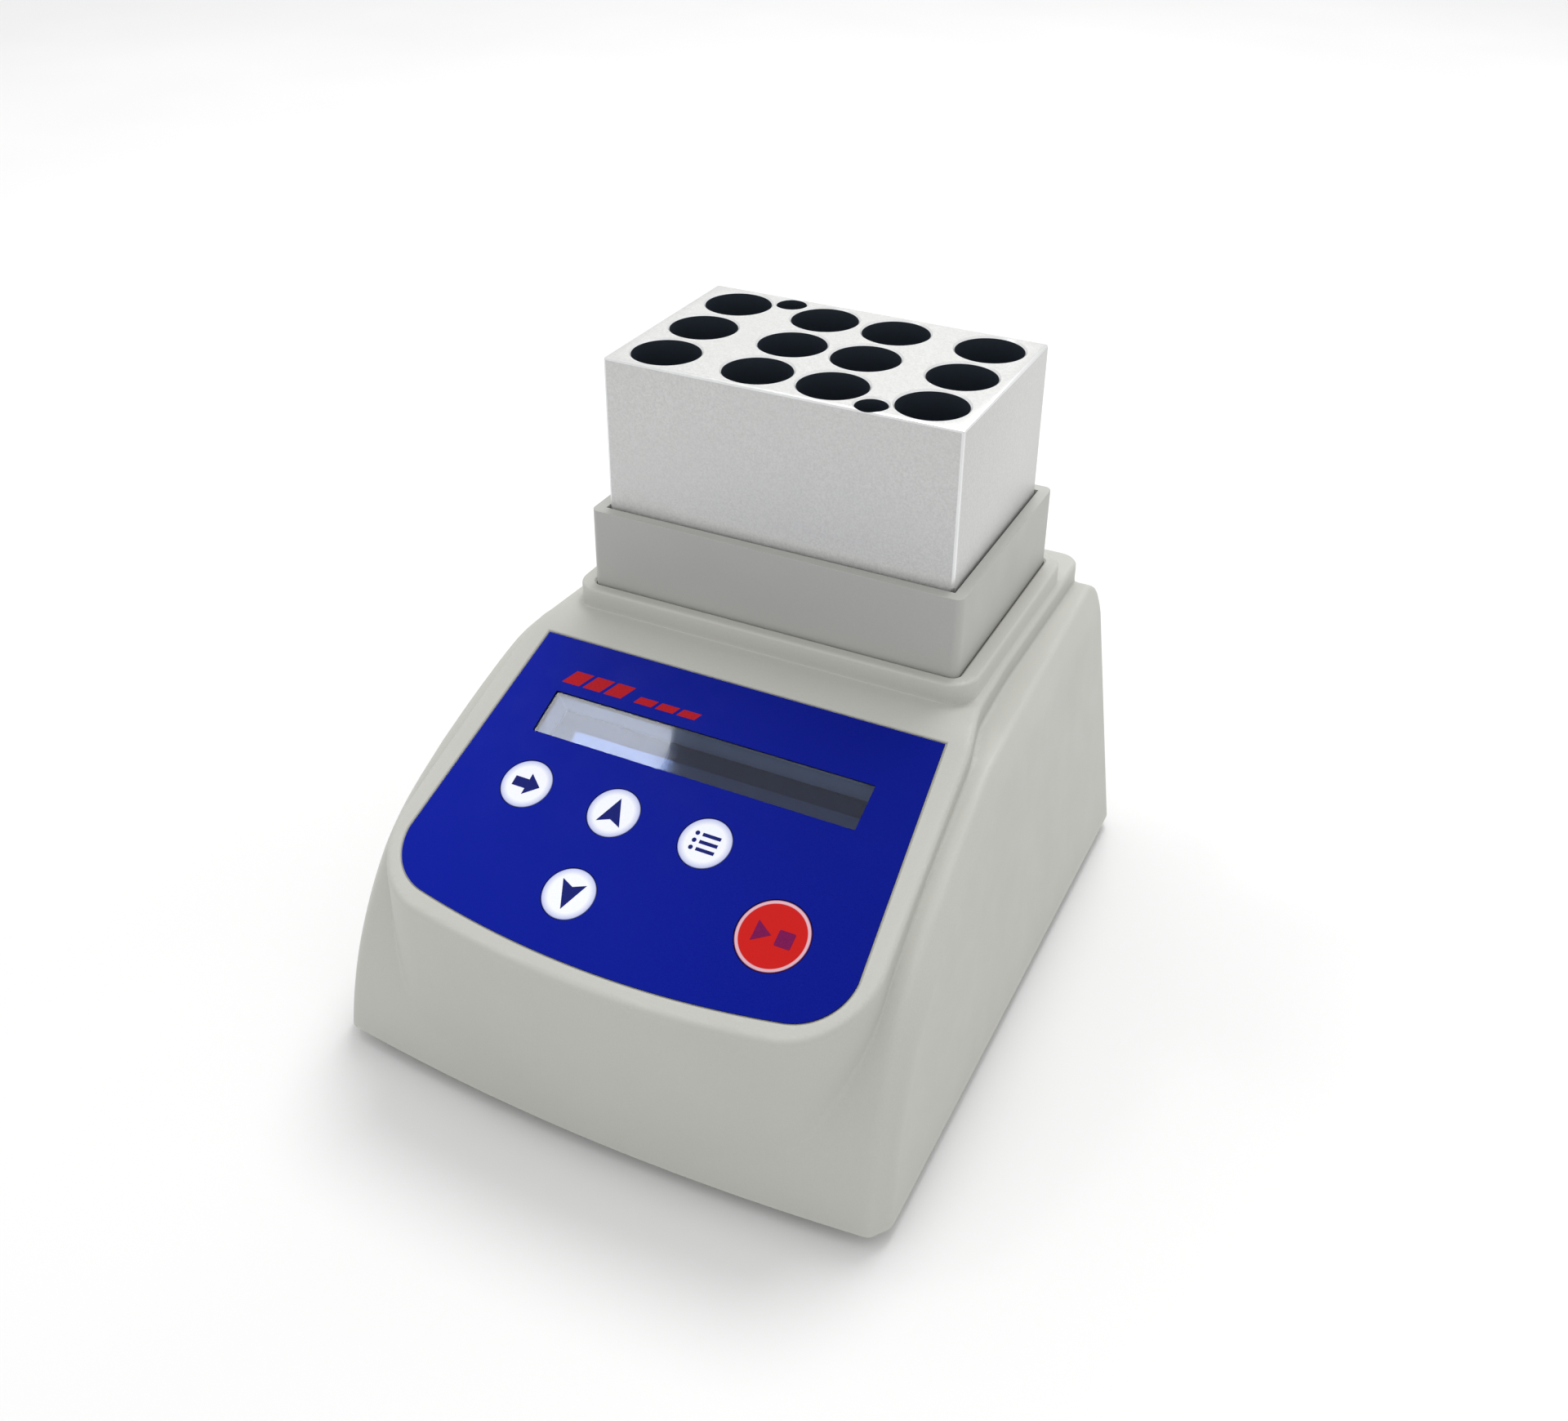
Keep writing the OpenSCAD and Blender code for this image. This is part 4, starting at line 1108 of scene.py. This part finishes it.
def screws_tree():
    """Sets a pan-head screw with a cross recess on each point, head down."""
    tree = Tree("pan_head_screws", [(n, "Float", 0.0) for n in (
        "Head Radius", "Head Height", "Shank Radius", "Shank Length")]
        + [("Finish", "Material", None)])
    get = tree.inputs
    sides = 40
    dome_share = 1.45                     # the dome's radius in head radii
    slot_long, slot_wide = 1.1, 0.26      # a slot's length and width in head radii
    dome_r = tree.maths("MULTIPLY", get["Head Radius"], dome_share)
    dome = tree.add("GeometryNodeMeshUVSphere",
                    {"Segments": sides, "Rings": sides, "Radius": dome_r})
    dome = tree.moved(dome, z=tree.maths("SUBTRACT", dome_r, get["Head Height"]))
    disc = tree.add("GeometryNodeMeshCylinder", {
        "Vertices": sides, "Radius": get["Head Radius"], "Depth": get["Head Height"]})
    disc = tree.moved(disc, z=tree.maths("MULTIPLY", get["Head Height"], -0.5))
    head = tree.add("GeometryNodeMeshBoolean", {1: [disc, dome]}, operation="INTERSECT",
                    solver="EXACT")
    slots = []
    for turn in (0.0, math.pi / 2):
        bar = tree.add("GeometryNodeMeshCube", {"Size": tree.vector(
            tree.maths("MULTIPLY", get["Head Radius"], slot_long),
            tree.maths("MULTIPLY", get["Head Radius"], slot_wide), get["Head Height"])})
        bar = tree.moved(bar, z=tree.maths("MULTIPLY", get["Head Height"], -0.98))
        slots.append(tree.add("GeometryNodeTransform", {0: bar, "Rotation": (0.0, 0.0, turn)}))
    head = tree.cut(head, slots[0])
    head = tree.cut(head, slots[1])
    shank = tree.add("GeometryNodeMeshCylinder", {
        "Vertices": 24, "Radius": get["Shank Radius"], "Depth": get["Shank Length"]})
    shank = tree.moved(shank, z=tree.maths("MULTIPLY", get["Shank Length"], 0.5))
    screw = tree.tagged(tree.joined(head, shank), 0)
    placed = tree.add("GeometryNodeInstanceOnPoints",
                      {"Points": get["Geometry"], "Instance": screw})
    tree.end(placed, [get["Finish"]])
    return tree


def feet_tree():
    """Sets a tapered rubber foot with a rounded rim and a hollow sole on each point."""
    tree = Tree("rubber_feet", [("Radius", "Float", 0.0), ("Taper", "Float", 0.0),
                                ("Height", "Float", 0.0), ("Sides", "Int", 48),
                                ("Finish", "Material", None)])
    get = tree.inputs
    rim = 0.5 * MM
    hollow_mouth, hollow_top, hollow_deep, hollow_low = (v * MM for v in (2.7, 1.9, 1.4, -0.2))
    sole_r = tree.maths("SUBTRACT", get["Radius"], get["Taper"])
    body = tree.add("GeometryNodeMeshCone", {
        "Vertices": get["Sides"], "Radius Bottom": sole_r, "Radius Top": get["Radius"],
        "Depth": tree.maths("SUBTRACT", get["Height"], rim)})
    body = tree.moved(body, z=rim)
    edge = tree.add("GeometryNodeMeshCone", {
        "Vertices": get["Sides"], "Radius Top": sole_r, "Depth": rim,
        "Radius Bottom": tree.maths("SUBTRACT", sole_r, rim)})
    body = tree.add("GeometryNodeMeshBoolean", {1: [body, edge]}, operation="UNION",
                    solver="EXACT")
    hollow = tree.add("GeometryNodeMeshCone", {
        "Vertices": 40, "Radius Bottom": hollow_mouth, "Radius Top": hollow_top,
        "Depth": hollow_deep})
    body = tree.cut(body, tree.moved(hollow, z=hollow_low))
    placed = tree.add("GeometryNodeInstanceOnPoints",
                      {"Points": get["Geometry"], "Instance": tree.tagged(body, 0)})
    tree.end(placed, [get["Finish"]])
    return tree


def points_piece(points, name):
    """An object with one loose point for each place, in metres."""
    mesh = bpy.data.meshes.new(name)
    mesh.from_pydata([tuple(p) for p in points], [], [])
    return link(mesh, name)


def islands(node):
    """Low and high corners of each loose part of a CAD node, in metres."""
    work = bmesh.new()
    work.from_mesh(NODES[node].data)
    bmesh.ops.remove_doubles(work, verts=work.verts, dist=WELD)
    seen, boxes = set(), []
    for start in work.verts:
        if start in seen:
            continue
        stack, part = [start], []
        seen.add(start)
        while stack:
            vert = stack.pop()
            part.append(vert.co.copy())
            for edge in vert.link_edges:
                other = edge.other_vert(vert)
                if other not in seen:
                    seen.add(other)
                    stack.append(other)
        boxes.append((Vector([min(p[i] for p in part) for i in range(3)]),
                      Vector([max(p[i] for p in part) for i in range(3)])))
    work.free()
    return boxes


def middles(boxes, z):
    """Middle of each box seen from above, at a height."""
    return [((low.x + high.x) / 2, (low.y + high.y) / 2, z) for low, high in boxes]


# --- Operators ---

FLOOR_REACH = 3.0         # metres from the middle to the floor's edges
SKY_LIGHT = 0.87          # strength of the even light from all round
# Name, place, aim and size of each lamp in metres, and its power in watts.
LAMPS = (
    ("soft_above", (-0.02, 0.60, 1.18), (0.0, 0.0, 0.05), 0.6, 7.4),
    ("window_glow", (-0.4425, 0.0223, 0.8513), (-0.024, -0.0225, 0.0558), 0.13, 0.40),
)
LENS, LENS_SHIFT = 37.425, -0.078               # on a sensor 36 mm wide
CAMERA_PLACE = (116.09, -227.42, 226.40)        # millimetres
CAMERA_TURN, CAMERA_TILT, CAMERA_ROLL = 25.934, 59.994, 0.651      # degrees


class HEATER_OT_stage(Operator):
    """Floor, soft lights and the camera"""
    bl_idname = "heater.stage"
    bl_label = "Stage"

    def execute(self, context):
        corners = [(x * FLOOR_REACH, y * FLOOR_REACH, 0.0)
                   for x, y in ((-1, -1), (1, -1), (1, 1), (-1, 1))]
        floor = link(mesh_from(corners, [(0, 1, 2, 3)], "floor"), "floor")
        finish = Finish("floor_paper")
        clouds = finish.noise(160.0, 2.0)
        tone = finish.blend(finish.span(clouds, 0.0, 1.0), (0.80, 0.80, 0.80), (0.83, 0.83, 0.83))
        floor.data.materials.append(finish.set(Base_Color=tone, Roughness=0.75))
        world = context.scene.world or bpy.data.worlds.new("studio")
        context.scene.world = world
        world.use_nodes = True
        sky = world.node_tree.nodes["Background"].inputs
        sky["Color"].default_value = (1.0, 1.0, 1.0, 1.0)
        sky["Strength"].default_value = SKY_LIGHT
        for name, place, aim, size, power in LAMPS:
            data = bpy.data.lights.new(name, "AREA")
            data.shape = "DISK"
            data.size = size
            data.energy = power
            lamp = bpy.data.objects.new(name, data)
            context.scene.collection.objects.link(lamp)
            lamp.location = place
            ray = Vector(aim) - Vector(place)
            lamp.rotation_euler = ray.to_track_quat("-Z", "Y").to_euler()
        data = bpy.data.cameras.new("camera")
        data.lens = LENS
        data.sensor_width = 36.0
        data.sensor_fit = "HORIZONTAL"
        data.shift_y = LENS_SHIFT
        data.clip_start = 0.01
        camera = bpy.data.objects.new("camera", data)
        context.scene.collection.objects.link(camera)
        camera.matrix_world = (
            Matrix.Translation(Vector(CAMERA_PLACE) * MM)
            @ Matrix.Rotation(math.radians(CAMERA_TURN), 4, "Z")
            @ Matrix.Rotation(math.radians(CAMERA_TILT), 4, "X")
            @ Matrix.Rotation(math.radians(CAMERA_ROLL), 4, "Z"))
        context.scene.camera = camera
        context.scene.view_settings.view_transform = "Standard"
        return {"FINISHED"}


POCKET = (74.0, 24.0)     # width and height of the pocket at the back
POCKET_WALL = 2.4         # wall round and behind the pocket
POCKET_DEPTH = 4.5        # depth of the pocket
SOCKET_BORE = 4.7         # radius of the power socket's hole
SWITCH_SLOT = (13.8, 20.6)        # width and height of the switch's hole
COLLAR_GAP = (5.8, 6.8)   # collar's hole wider than the block, below and at its mouth
KEY_GAP = 0.4             # gap round a key in the housing


class HEATER_OT_housing(Operator):
    """Moulded housing: arched shell, centre body, plinth, recesses and the pocket at the back"""
    bl_idname = "heater.housing"
    bl_label = "Housing"

    def execute(self, context):
        sizes = context.scene.heater_housing
        form, plane = shapes()
        pitch = sizes.pitch / MM * 1.0
        low, high = (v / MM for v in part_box("upper_housing"))
        skin = net_over(form.outside, low - Vector((0, 0, SKIN_BELOW)), high, pitch, "housing")
        piece = link(skin, "housing")
        hollow = net_over(form.cavity, low - Vector((0, 0, HOLLOW_BELOW)), high,
                          sizes.cavity_pitch / MM, "hollow")
        below = rounded_rectangle(160.0, 180.0, 1.0, 2)
        combine(piece, [hollow,
                        loft([level(below, form.base - 9), level(below, form.base)], "below")])
        window, v = plane.window, plane.window_v
        pocket = middle("switch_body").z / MM
        pocket_y = form.rear - POCKET_DEPTH
        back = Matrix.Translation(Vector((0, 0, pocket)) * MM) @ Matrix.Rotation(
            math.radians(-90), 4, "X")
        tunnel = rounded_rectangle(window[0] + 2.8, window[1] + 2.8, 0.6, 3, (0, -v))
        box = rounded_rectangle(POCKET[0] + 2 * POCKET_WALL, POCKET[1] + 2 * POCKET_WALL, 3.0, 5)
        combine(piece, [
            loft([level(tunnel, -plane.depth + 0.2), level(tunnel, -0.8)], "tunnel", plane.place),
            loft([level(box, pocket_y - POCKET_WALL), level(box, form.rear - 1.2)],
                 "pocket", back),
        ], "UNION")
        opening = extent("heating_block") / MM
        around, wide = (
            rounded_rectangle(opening.x + gap, opening.y + gap, corner, 5, (0, form.block_y))
            for gap, corner in zip(COLLAR_GAP, (1.8, 2.3)))
        film = [level(plane.film(0.0), -plane.recess), level(plane.film(0.0), -0.22),
                level(plane.film(-0.22), 0.0), level(plane.film(-0.22), 3.0)]
        mouth = rounded_rectangle(window[0], window[1], 0.25, 3, (0, -v))
        seat = rounded_rectangle(window[0] + 2.4, window[1] + 2.4, 0.5, 3, (0, -v))
        cuts = [
            loft(film, "film_recess", plane.place),
            loft([level(mouth, -plane.depth - 1), level(mouth, 2.0)], "window", plane.place),
            loft([level(seat, -1.4), level(seat, 2.0)], "window_seat", plane.place),
            loft([level(around, 40.0), level(around, form.plinth_z - 0.4),
                  level(wide, form.plinth_z + 0.1), level(wide, 90.0)], "collar_hole"),
        ]
        for node in KEYS:
            u, down, radius = key_place(node, plane)
            ring = circle(radius + KEY_GAP, 48, (u, -down))
            cuts.append(loft([level(ring, -6.0), level(ring, 2.0)], node + "_hole", plane.place))
        inner = rounded_rectangle(*POCKET, 2.0, 6)
        outer = rounded_rectangle(POCKET[0] + 1.0, POCKET[1] + 1.0, 2.5, 6)
        cuts.append(loft([level(inner, pocket_y), level(inner, form.rear - 0.6),
                          level(outer, form.rear + 0.02), level(outer, form.rear + 9)],
                         "pocket_hollow", back))
        socket, switch = middle("power_socket").x / MM, middle("switch_body").x / MM
        bore = circle(SOCKET_BORE, 40, (socket, 0))
        slot = rounded_rectangle(*SWITCH_SLOT, 0.6, 3, (switch, 0))
        cuts.append(loft([level(bore, pocket_y - 4), level(bore, pocket_y + 2)], "bore", back))
        cuts.append(loft([level(slot, pocket_y - 4), level(slot, pocket_y + 2)], "slot", back))
        combine(piece, cuts)
        true_normals(piece.data, form.outside)
        paint(piece, "housing")
        declare(piece, "root", "housing", "upper_housing")
        return {"FINISHED"}


class HEATER_OT_collar(Operator):
    """Collar round the block, with rounded upper edges"""
    bl_idname = "heater.collar"
    bl_label = "Collar"

    def execute(self, context):
        piece = softened_node("collar", "collar_tube", 0.35, 3)
        paint(piece, "collar")
        declare(piece, "root", "collar", "collar")
        return {"FINISHED"}


class HEATER_OT_block(Operator):
    """Heating block with its wells, small holes and bright cut edges"""
    bl_idname = "heater.block"
    bl_label = "Heating block"

    def execute(self, context):
        sizes = context.scene.heater_block
        low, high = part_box("heating_block")
        work = bmesh.new()
        bmesh.ops.create_cube(work, size=1.0)
        bmesh.ops.transform(work, matrix=Matrix.Translation((low + high) / 2)
                            @ Matrix.Diagonal((*(high - low), 1.0)), verts=work.verts)
        region = work.faces.layers.int.new("region")
        made = bmesh.ops.bevel(work, geom=work.edges[:], offset=sizes.edge, segments=2,
                               profile=0.5, affect="EDGES")
        for face in made["faces"]:
            face[region] = 2
        mesh = bpy.data.meshes.new("heating_block_bored")
        bmesh.ops.recalc_face_normals(work, faces=work.faces)
        work.to_mesh(mesh)
        work.free()
        piece = link(mesh, "heating_block_bored")
        wells_tree().run(piece, {
            "Well Radius": sizes.well_radius, "Well Depth": sizes.well_depth,
            "Inner Pitch": sizes.column_inner, "Outer Pitch": sizes.column_outer,
            "Row Pitch": sizes.row, "Tool Radius": sizes.tool_radius,
            "Tool X": (sizes.column_inner + sizes.column_outer) / 2,
            "Tool Y": sizes.tool_place, "Tool Depth": sizes.tool_depth, "Rim": sizes.rim,
            "Top": high.z, "Middle Y": (low.y + high.y) / 2,
            "Block Finish": finish_of("block"), "Well Shade Finish": finish_of("well"),
            "Edge Finish": finish_of("edge")})
        smooth(piece, 30.0)
        declare(piece, "block", "block", "heating_block")
        return {"FINISHED"}


FILM_KEY_GAP = 0.12       # gap round a key in the film
# Rows of accent bars: start and end across, place down the slope, thickness and half lean.
ACCENT_ROWS = ((-31.5, -18.0, 8.3, 3.0, 0.9), (-16.5, -3.0, 9.0, 1.5, 0.45))
BARS_IN_ROW = 3
BAR_SHARE = 0.82          # printed share of a bar's step


class HEATER_OT_film(Operator):
    """Printed panel film with its window, key holes and accent bars"""
    bl_idname = "heater.film"
    bl_label = "Panel film"

    def execute(self, context):
        plane = shapes()[1]
        sizes = context.scene.heater_panel
        gap, deep = plane.gap, plane.recess
        rings = [level(plane.film(gap), -deep), level(plane.film(gap), -0.16),
                 level(plane.film(gap + sizes.shadow_bevel), -0.1)]
        piece = link(loft(rings, "panel_film_sheet", plane.place), "panel_film_sheet")
        mouth = rounded_rectangle(*plane.window, 0.25, 3, (0, -plane.window_v))
        cuts = [loft([level(mouth, -2.0), level(mouth, 2.0)], "mouth", plane.place)]
        for node in KEYS:
            u, v, radius = key_place(node, plane)
            ring = circle(radius + FILM_KEY_GAP, 64, (u, -v))
            cuts.append(loft([level(ring, -2.0), level(ring, 2.0)], node + "_hole", plane.place))
        combine(piece, cuts)
        paint(piece, "film", "film_shadow_edge")
        up = plane.place.to_3x3() @ Vector((0, 0, 1))
        flat = 0.995      # cosine past which a face lies in the panel's plane
        # Faces off the panel's plane, the film's walls and bevel, get the near-black painted
        # shadow.
        for face in piece.data.polygons:
            face.material_index = 0 if face.normal.dot(up) > flat else 1
        smooth(piece, 30.0)
        declare(piece, "root", "film", "panel_film")
        bars = []
        for start, end, v, thick, lean in ACCENT_ROWS:
            step = (end - start) / BARS_IN_ROW
            for i in range(BARS_IN_ROW):
                a, b = start + i * step, start + (i + BAR_SHARE) * step
                outline = [(a - lean, -v - thick / 2), (b - lean, -v - thick / 2),
                           (b + lean, -v + thick / 2), (a + lean, -v + thick / 2)]
                bars.append([level(outline, -0.12), level(outline, -0.085)])
        accent = stacked([loft(r, "bar", plane.place) for r in bars], "accent_bars")
        paint(accent, "accent")
        declare(accent, "root", "film")
        return {"FINISHED"}


def stacked(meshes, name):
    """One object from several meshes."""
    work = bmesh.new()
    for mesh in meshes:
        work.from_mesh(mesh)
        bpy.data.meshes.remove(mesh)
    mesh = bpy.data.meshes.new(name)
    work.to_mesh(mesh)
    work.free()
    return link(mesh, name)


class HEATER_OT_display(Operator):
    """Clear window, dark display glass and its metal frame"""
    bl_idname = "heater.display"
    bl_label = "Display"

    def execute(self, context):
        plane = shapes()[1]
        window, v = plane.window, plane.window_v
        full = rounded_rectangle(window[0] + 2.0, window[1] + 2.0, 0.5, 4, (0, -v))
        less = rounded_rectangle(window[0] + 1.8, window[1] + 1.8, 0.4, 4, (0, -v))
        plate = link(loft([level(less, -1.4), level(full, -1.3), level(full, -0.5),
                           level(less, -0.4)], "window_plate", plane.place), "window_plate")
        paint(plate, "clear")
        declare(plate, "root", "clear", "display_window")
        for node, name, slot, width in (
                ("display_bezel", "display_frame", "display_frame", 0.3),
                ("display_glass", "display_pane", "display", 0.15)):
            piece = softened_node(node, name, width, 2)
            paint(piece, slot)
            declare(piece, "root", slot, node)
        return {"FINISHED"}


def arrow_outline():
    """Block arrow that points right."""
    return [(-2.65, -0.95), (0.10, -0.95), (0.10, -2.20), (2.75, 0.0), (0.10, 2.20),
            (0.10, 0.95), (-2.65, 0.95)]


def pointer_outline(turn):
    """Notched arrowhead that points up, or down with turn -1."""
    return [(x, y * turn) for x, y in ((0.0, 3.0), (-2.35, -2.35), (0.0, -1.35), (2.35, -2.35))]


def mark_outlines(node):
    """Outlines of a key's printed mark, about the key's middle."""
    if node == "key_next":
        return [arrow_outline()]
    if node == "key_up":
        return [pointer_outline(1)]
    if node == "key_down":
        return [pointer_outline(-1)]
    if node == "key_program":
        lines = []
        for y in (1.45, 0.0, -1.45):
            lines.append([(-1.1, y - 0.32), (2.4, y - 0.32), (2.4, y + 0.32), (-1.1, y + 0.32)])
            lines.append(circle(0.42, 16, (-2.1, y)))
        return lines
    play = [(-3.3, -1.9), (-0.3, 0.0), (-3.3, 1.9)]
    stop = rounded_rectangle(2.9, 2.9, 0.25, 3, (2.2, 0.0))
    return [play, stop]


KEY_SIDES = 64
CAP_LOW = -2.0            # underside of a key's cap, from the panel's face
STEM_RADIUS = 1.75
STEM_EDGE = 0.2           # chamfer at a stem's end
BOARD_DEPTH = 12.0        # key board below the panel's face
SWITCH_HEIGHT = 3.6       # a push switch on it
KEY_TRAVEL = 0.6


class HEATER_OT_keys(Operator):
    """Five printed keys with their marks, each on its own body"""
    bl_idname = "heater.keys"
    bl_label = "Keys"

    def execute(self, context):
        plane = shapes()[1]
        ring_start = context.scene.heater_panel.key_ring
        low = -(BOARD_DEPTH - SWITCH_HEIGHT + 2 * KEY_TRAVEL)
        for node in KEYS:
            u, v, radius = key_place(node, plane)
            profile = [(STEM_RADIUS - STEM_EDGE, low), (STEM_RADIUS, low + STEM_EDGE),
                       (STEM_RADIUS, CAP_LOW), (radius, CAP_LOW), (radius, -0.19),
                       (radius - 0.03, -0.13), (radius - 0.10, -0.1),
                       (radius * ring_start, -0.095), (radius * 0.5, -0.09)]
            rings = [level(circle(r, KEY_SIDES, (u, -v)), z) for r, z in profile]
            cap = loft(rings, node, plane.place)
            marks = []
            for outline in mark_outlines(node):
                placed = [(x + u, y - v) for x, y in outline]
                marks.append(loft([level(placed, -0.13), level(placed, -0.055)], "mark",
                                  plane.place))
            cap_faces = len(cap.polygons)
            piece = stacked([cap, *marks], node.replace("key_", "cap_"))
            red = node == "key_start"
            paint(piece, *(("key_red", "start_mark") if red else ("key_white", "mark")))
            for face in piece.data.polygons:
                face.material_index = int(face.index >= cap_faces)
            layer = piece.data.uv_layers.new(name="cap")
            back = plane.place.inverted()
            for loop in piece.data.loops:
                local = (back @ piece.data.vertices[loop.vertex_index].co) / MM
                layer.data[loop.index].uv = (0.5 + (local.x - u) / radius / 2,
                                             0.5 + (local.y + v) / radius / 2)
            smooth(piece, 40.0)
            declare(piece, node.replace("key_", "") + "_key", "key_red" if red else "key_white",
                    node)
        return {"FINISHED"}


ROCKER_PIVOT = (59.5, 20.0)       # y and z of the rocker's axis
ROCKER_REST = -8.0        # degrees that the rocker is tipped at rest
ROCKER_FACE = 2.3         # rocker's face behind its axis, at its middle
ROCKER_RISE = (0.6, 8.5)  # how far the face has risen, and how far from its middle
MARK_PLACE = 4.4          # a mark above or below the rocker's middle
MARK_SIDES = 32


class HEATER_OT_back(Operator):
    """Power socket, its nut and the rocker switch in the pocket at the back"""
    bl_idname = "heater.back"
    bl_label = "Back fittings"

    def execute(self, context):
        for node, name, slot, body, width in (
                ("power_socket", "socket_barrel", "black_plastic", "root", 0.25),
                ("socket_nut", "socket_ring_nut", "screw_steel", "root", 0.25),
                ("switch_body", "switch_frame", "black_plastic", "root", 0.35),
                ("switch_rocker", "rocker_cap", "black_plastic", "rocker", 0.4),
                ("switch_terminals", "switch_tabs", "brass", "root", 0.1)):
            piece = softened_node(node, name, width, 3)
            paint(piece, slot)
            declare(piece, body, slot, node)
        pivot = Vector(((middle("switch_rocker") / MM).x, *ROCKER_PIVOT))
        turn = Matrix.Translation(pivot * MM) @ Matrix.Rotation(math.radians(ROCKER_REST), 4, "X")
        rise, run = ROCKER_RISE
        out = ROCKER_FACE + rise * MARK_PLACE / run
        marks = []
        for side, outline in ((1, rounded_rectangle(0.9, 4.2, 0.3, 3)),
                              (-1, circle(2.1, MARK_SIDES))):
            tilt = math.atan2(rise, run) * side
            face = (turn @ Matrix.Translation(Vector((0, out, side * MARK_PLACE)) * MM)
                    @ Matrix.Rotation(math.radians(-90) - tilt, 4, "X"))
            if side == 1:
                marks.append(loft([level(outline, -0.2), level(outline, 0.05)], "on", face))
            else:
                inner = circle(1.45, MARK_SIDES)
                rings = [level(outline, -0.2), level(outline, 0.05), level(inner, 0.05),
                         level(inner, -0.2)]
                points = [face @ (Vector(p) * MM) for ring in rings for p in ring]
                faces = []
                for row in range(len(rings)):
                    near, far = row * MARK_SIDES, (row + 1) % len(rings) * MARK_SIDES
                    for i in range(MARK_SIDES):
                        j = (i + 1) % MARK_SIDES
                        faces.append((near + i, near + j, far + j, far + i))
                marks.append(mesh_from(points, faces, "off"))
        piece = stacked(marks, "rocker_marks")
        paint(piece, "pale_mark")
        declare(piece, "rocker", "black_plastic")
        return {"FINISHED"}


class HEATER_OT_underside(Operator):
    """Base plate, rubber feet and the screws seen from below"""
    bl_idname = "heater.underside"
    bl_label = "Underside"

    def execute(self, context):
        sizes = context.scene.heater_fixings
        plate = softened_node("base_plate", "base_cover", 0.25, 2)
        paint(plate, "base")
        declare(plate, "root", "base", "base_plate")
        low_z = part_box("upper_housing")[0].z
        spots = [box for box in islands("base_screws") if (box[1] - box[0]).z > 5 * MM]
        piece = screws_tree().run(points_piece(middles(spots, low_z), "base_screw_set"), {
            "Head Radius": sizes.head_radius, "Head Height": sizes.head_height,
            "Shank Radius": sizes.shank_radius, "Shank Length": sizes.shank_length,
            "Finish": finish_of("screw_steel")})
        declare(smooth(piece), "root", "screw_steel", "base_screws")
        feet = [box for box in islands("rubber_feet") if box[0].z < 0.5 * MM]
        piece = feet_tree().run(points_piece(middles(feet, 0.0), "foot_set"), {
            "Radius": sizes.foot_radius, "Taper": sizes.foot_taper, "Height": low_z,
            "Sides": sizes.foot_sides, "Finish": finish_of("rubber")})
        declare(smooth(piece), "root", "rubber", "rubber_feet")
        return {"FINISHED"}


class HEATER_OT_inner(Operator):
    """Finishes of the parts inside: heater, insulation, boards and wiring"""
    bl_idname = "heater.inner"
    bl_label = "Inner parts"

    def execute(self, context):
        inner = {
            "collar_screws": "screw_steel", "heater_plate": "plate",
            "heating_film": "heating_film", "insulation_pad": "insulation",
            "insulation_sleeve": "insulation", "heater_carrier": "sheet_metal",
            "carrier_posts": "brass", "carrier_screws": "screw_steel",
            "temperature_probe": "screw_steel", "thermal_cutout": "black_plastic",
            "control_board": "board", "control_board_screws": "screw_steel",
            "tact_switches": "black_plastic", "ribbon_cable": "ribbon",
            "ribbon_headers": "header", "main_board": "board",
            "main_board_screws": "screw_steel", "heat_sink": "dark_metal",
            "power_transistors": "black_plastic", "capacitors": "capacitor",
            "controller_chip": "black_plastic", "buzzer": "black_plastic",
        }
        for node, slot in inner.items():
            materials = NODES[node].data.materials
            if len(materials) == 0:
                materials.append(finish_of(slot))
            for index in range(len(materials)):
                materials[index] = finish_of(slot)
        return {"FINISHED"}


OPERATORS = (HEATER_OT_stage, HEATER_OT_housing, HEATER_OT_collar, HEATER_OT_block,
             HEATER_OT_film, HEATER_OT_display, HEATER_OT_keys, HEATER_OT_back,
             HEATER_OT_underside, HEATER_OT_inner)
GROUPS = {"heater_housing": HousingSizes, "heater_panel": PanelSizes, "heater_block": BlockSizes,
          "heater_fixings": FixingSizes, "heater_colours": FinishColours}


class HEATER_PT_pieces(Panel):
    """Lists the pieces and their sizes"""
    bl_idname = "HEATER_PT_pieces"
    bl_label = "Dry Block Heater"
    bl_space_type = "VIEW_3D"
    bl_region_type = "UI"
    bl_category = "Heater"

    def draw(self, context):
        for operator in OPERATORS:
            self.layout.operator(operator.bl_idname)
        for name in GROUPS:
            column = self.layout.box().column()
            group = getattr(context.scene, name)
            for key in group.__annotations__:
                column.prop(group, key)


def register():
    """Registers the sizes, operators and panel."""
    for name, group in GROUPS.items():
        bpy.utils.register_class(group)
        setattr(bpy.types.Scene, name, PointerProperty(type=group))
    for entry in (*OPERATORS, HEATER_PT_pieces):
        bpy.utils.register_class(entry)


def unregister():
    """Removes what register added."""
    for entry in (HEATER_PT_pieces, *reversed(OPERATORS)):
        bpy.utils.unregister_class(entry)
    for name, group in GROUPS.items():
        delattr(bpy.types.Scene, name)
        bpy.utils.unregister_class(group)


def main():
    """Builds every piece in order."""
    register()
    bpy.ops.heater.stage()
    bpy.ops.heater.housing()
    bpy.ops.heater.collar()
    bpy.ops.heater.block()
    bpy.ops.heater.film()
    bpy.ops.heater.display()
    bpy.ops.heater.keys()
    bpy.ops.heater.back()
    bpy.ops.heater.underside()
    bpy.ops.heater.inner()


if __name__ == "__main__":
    main()
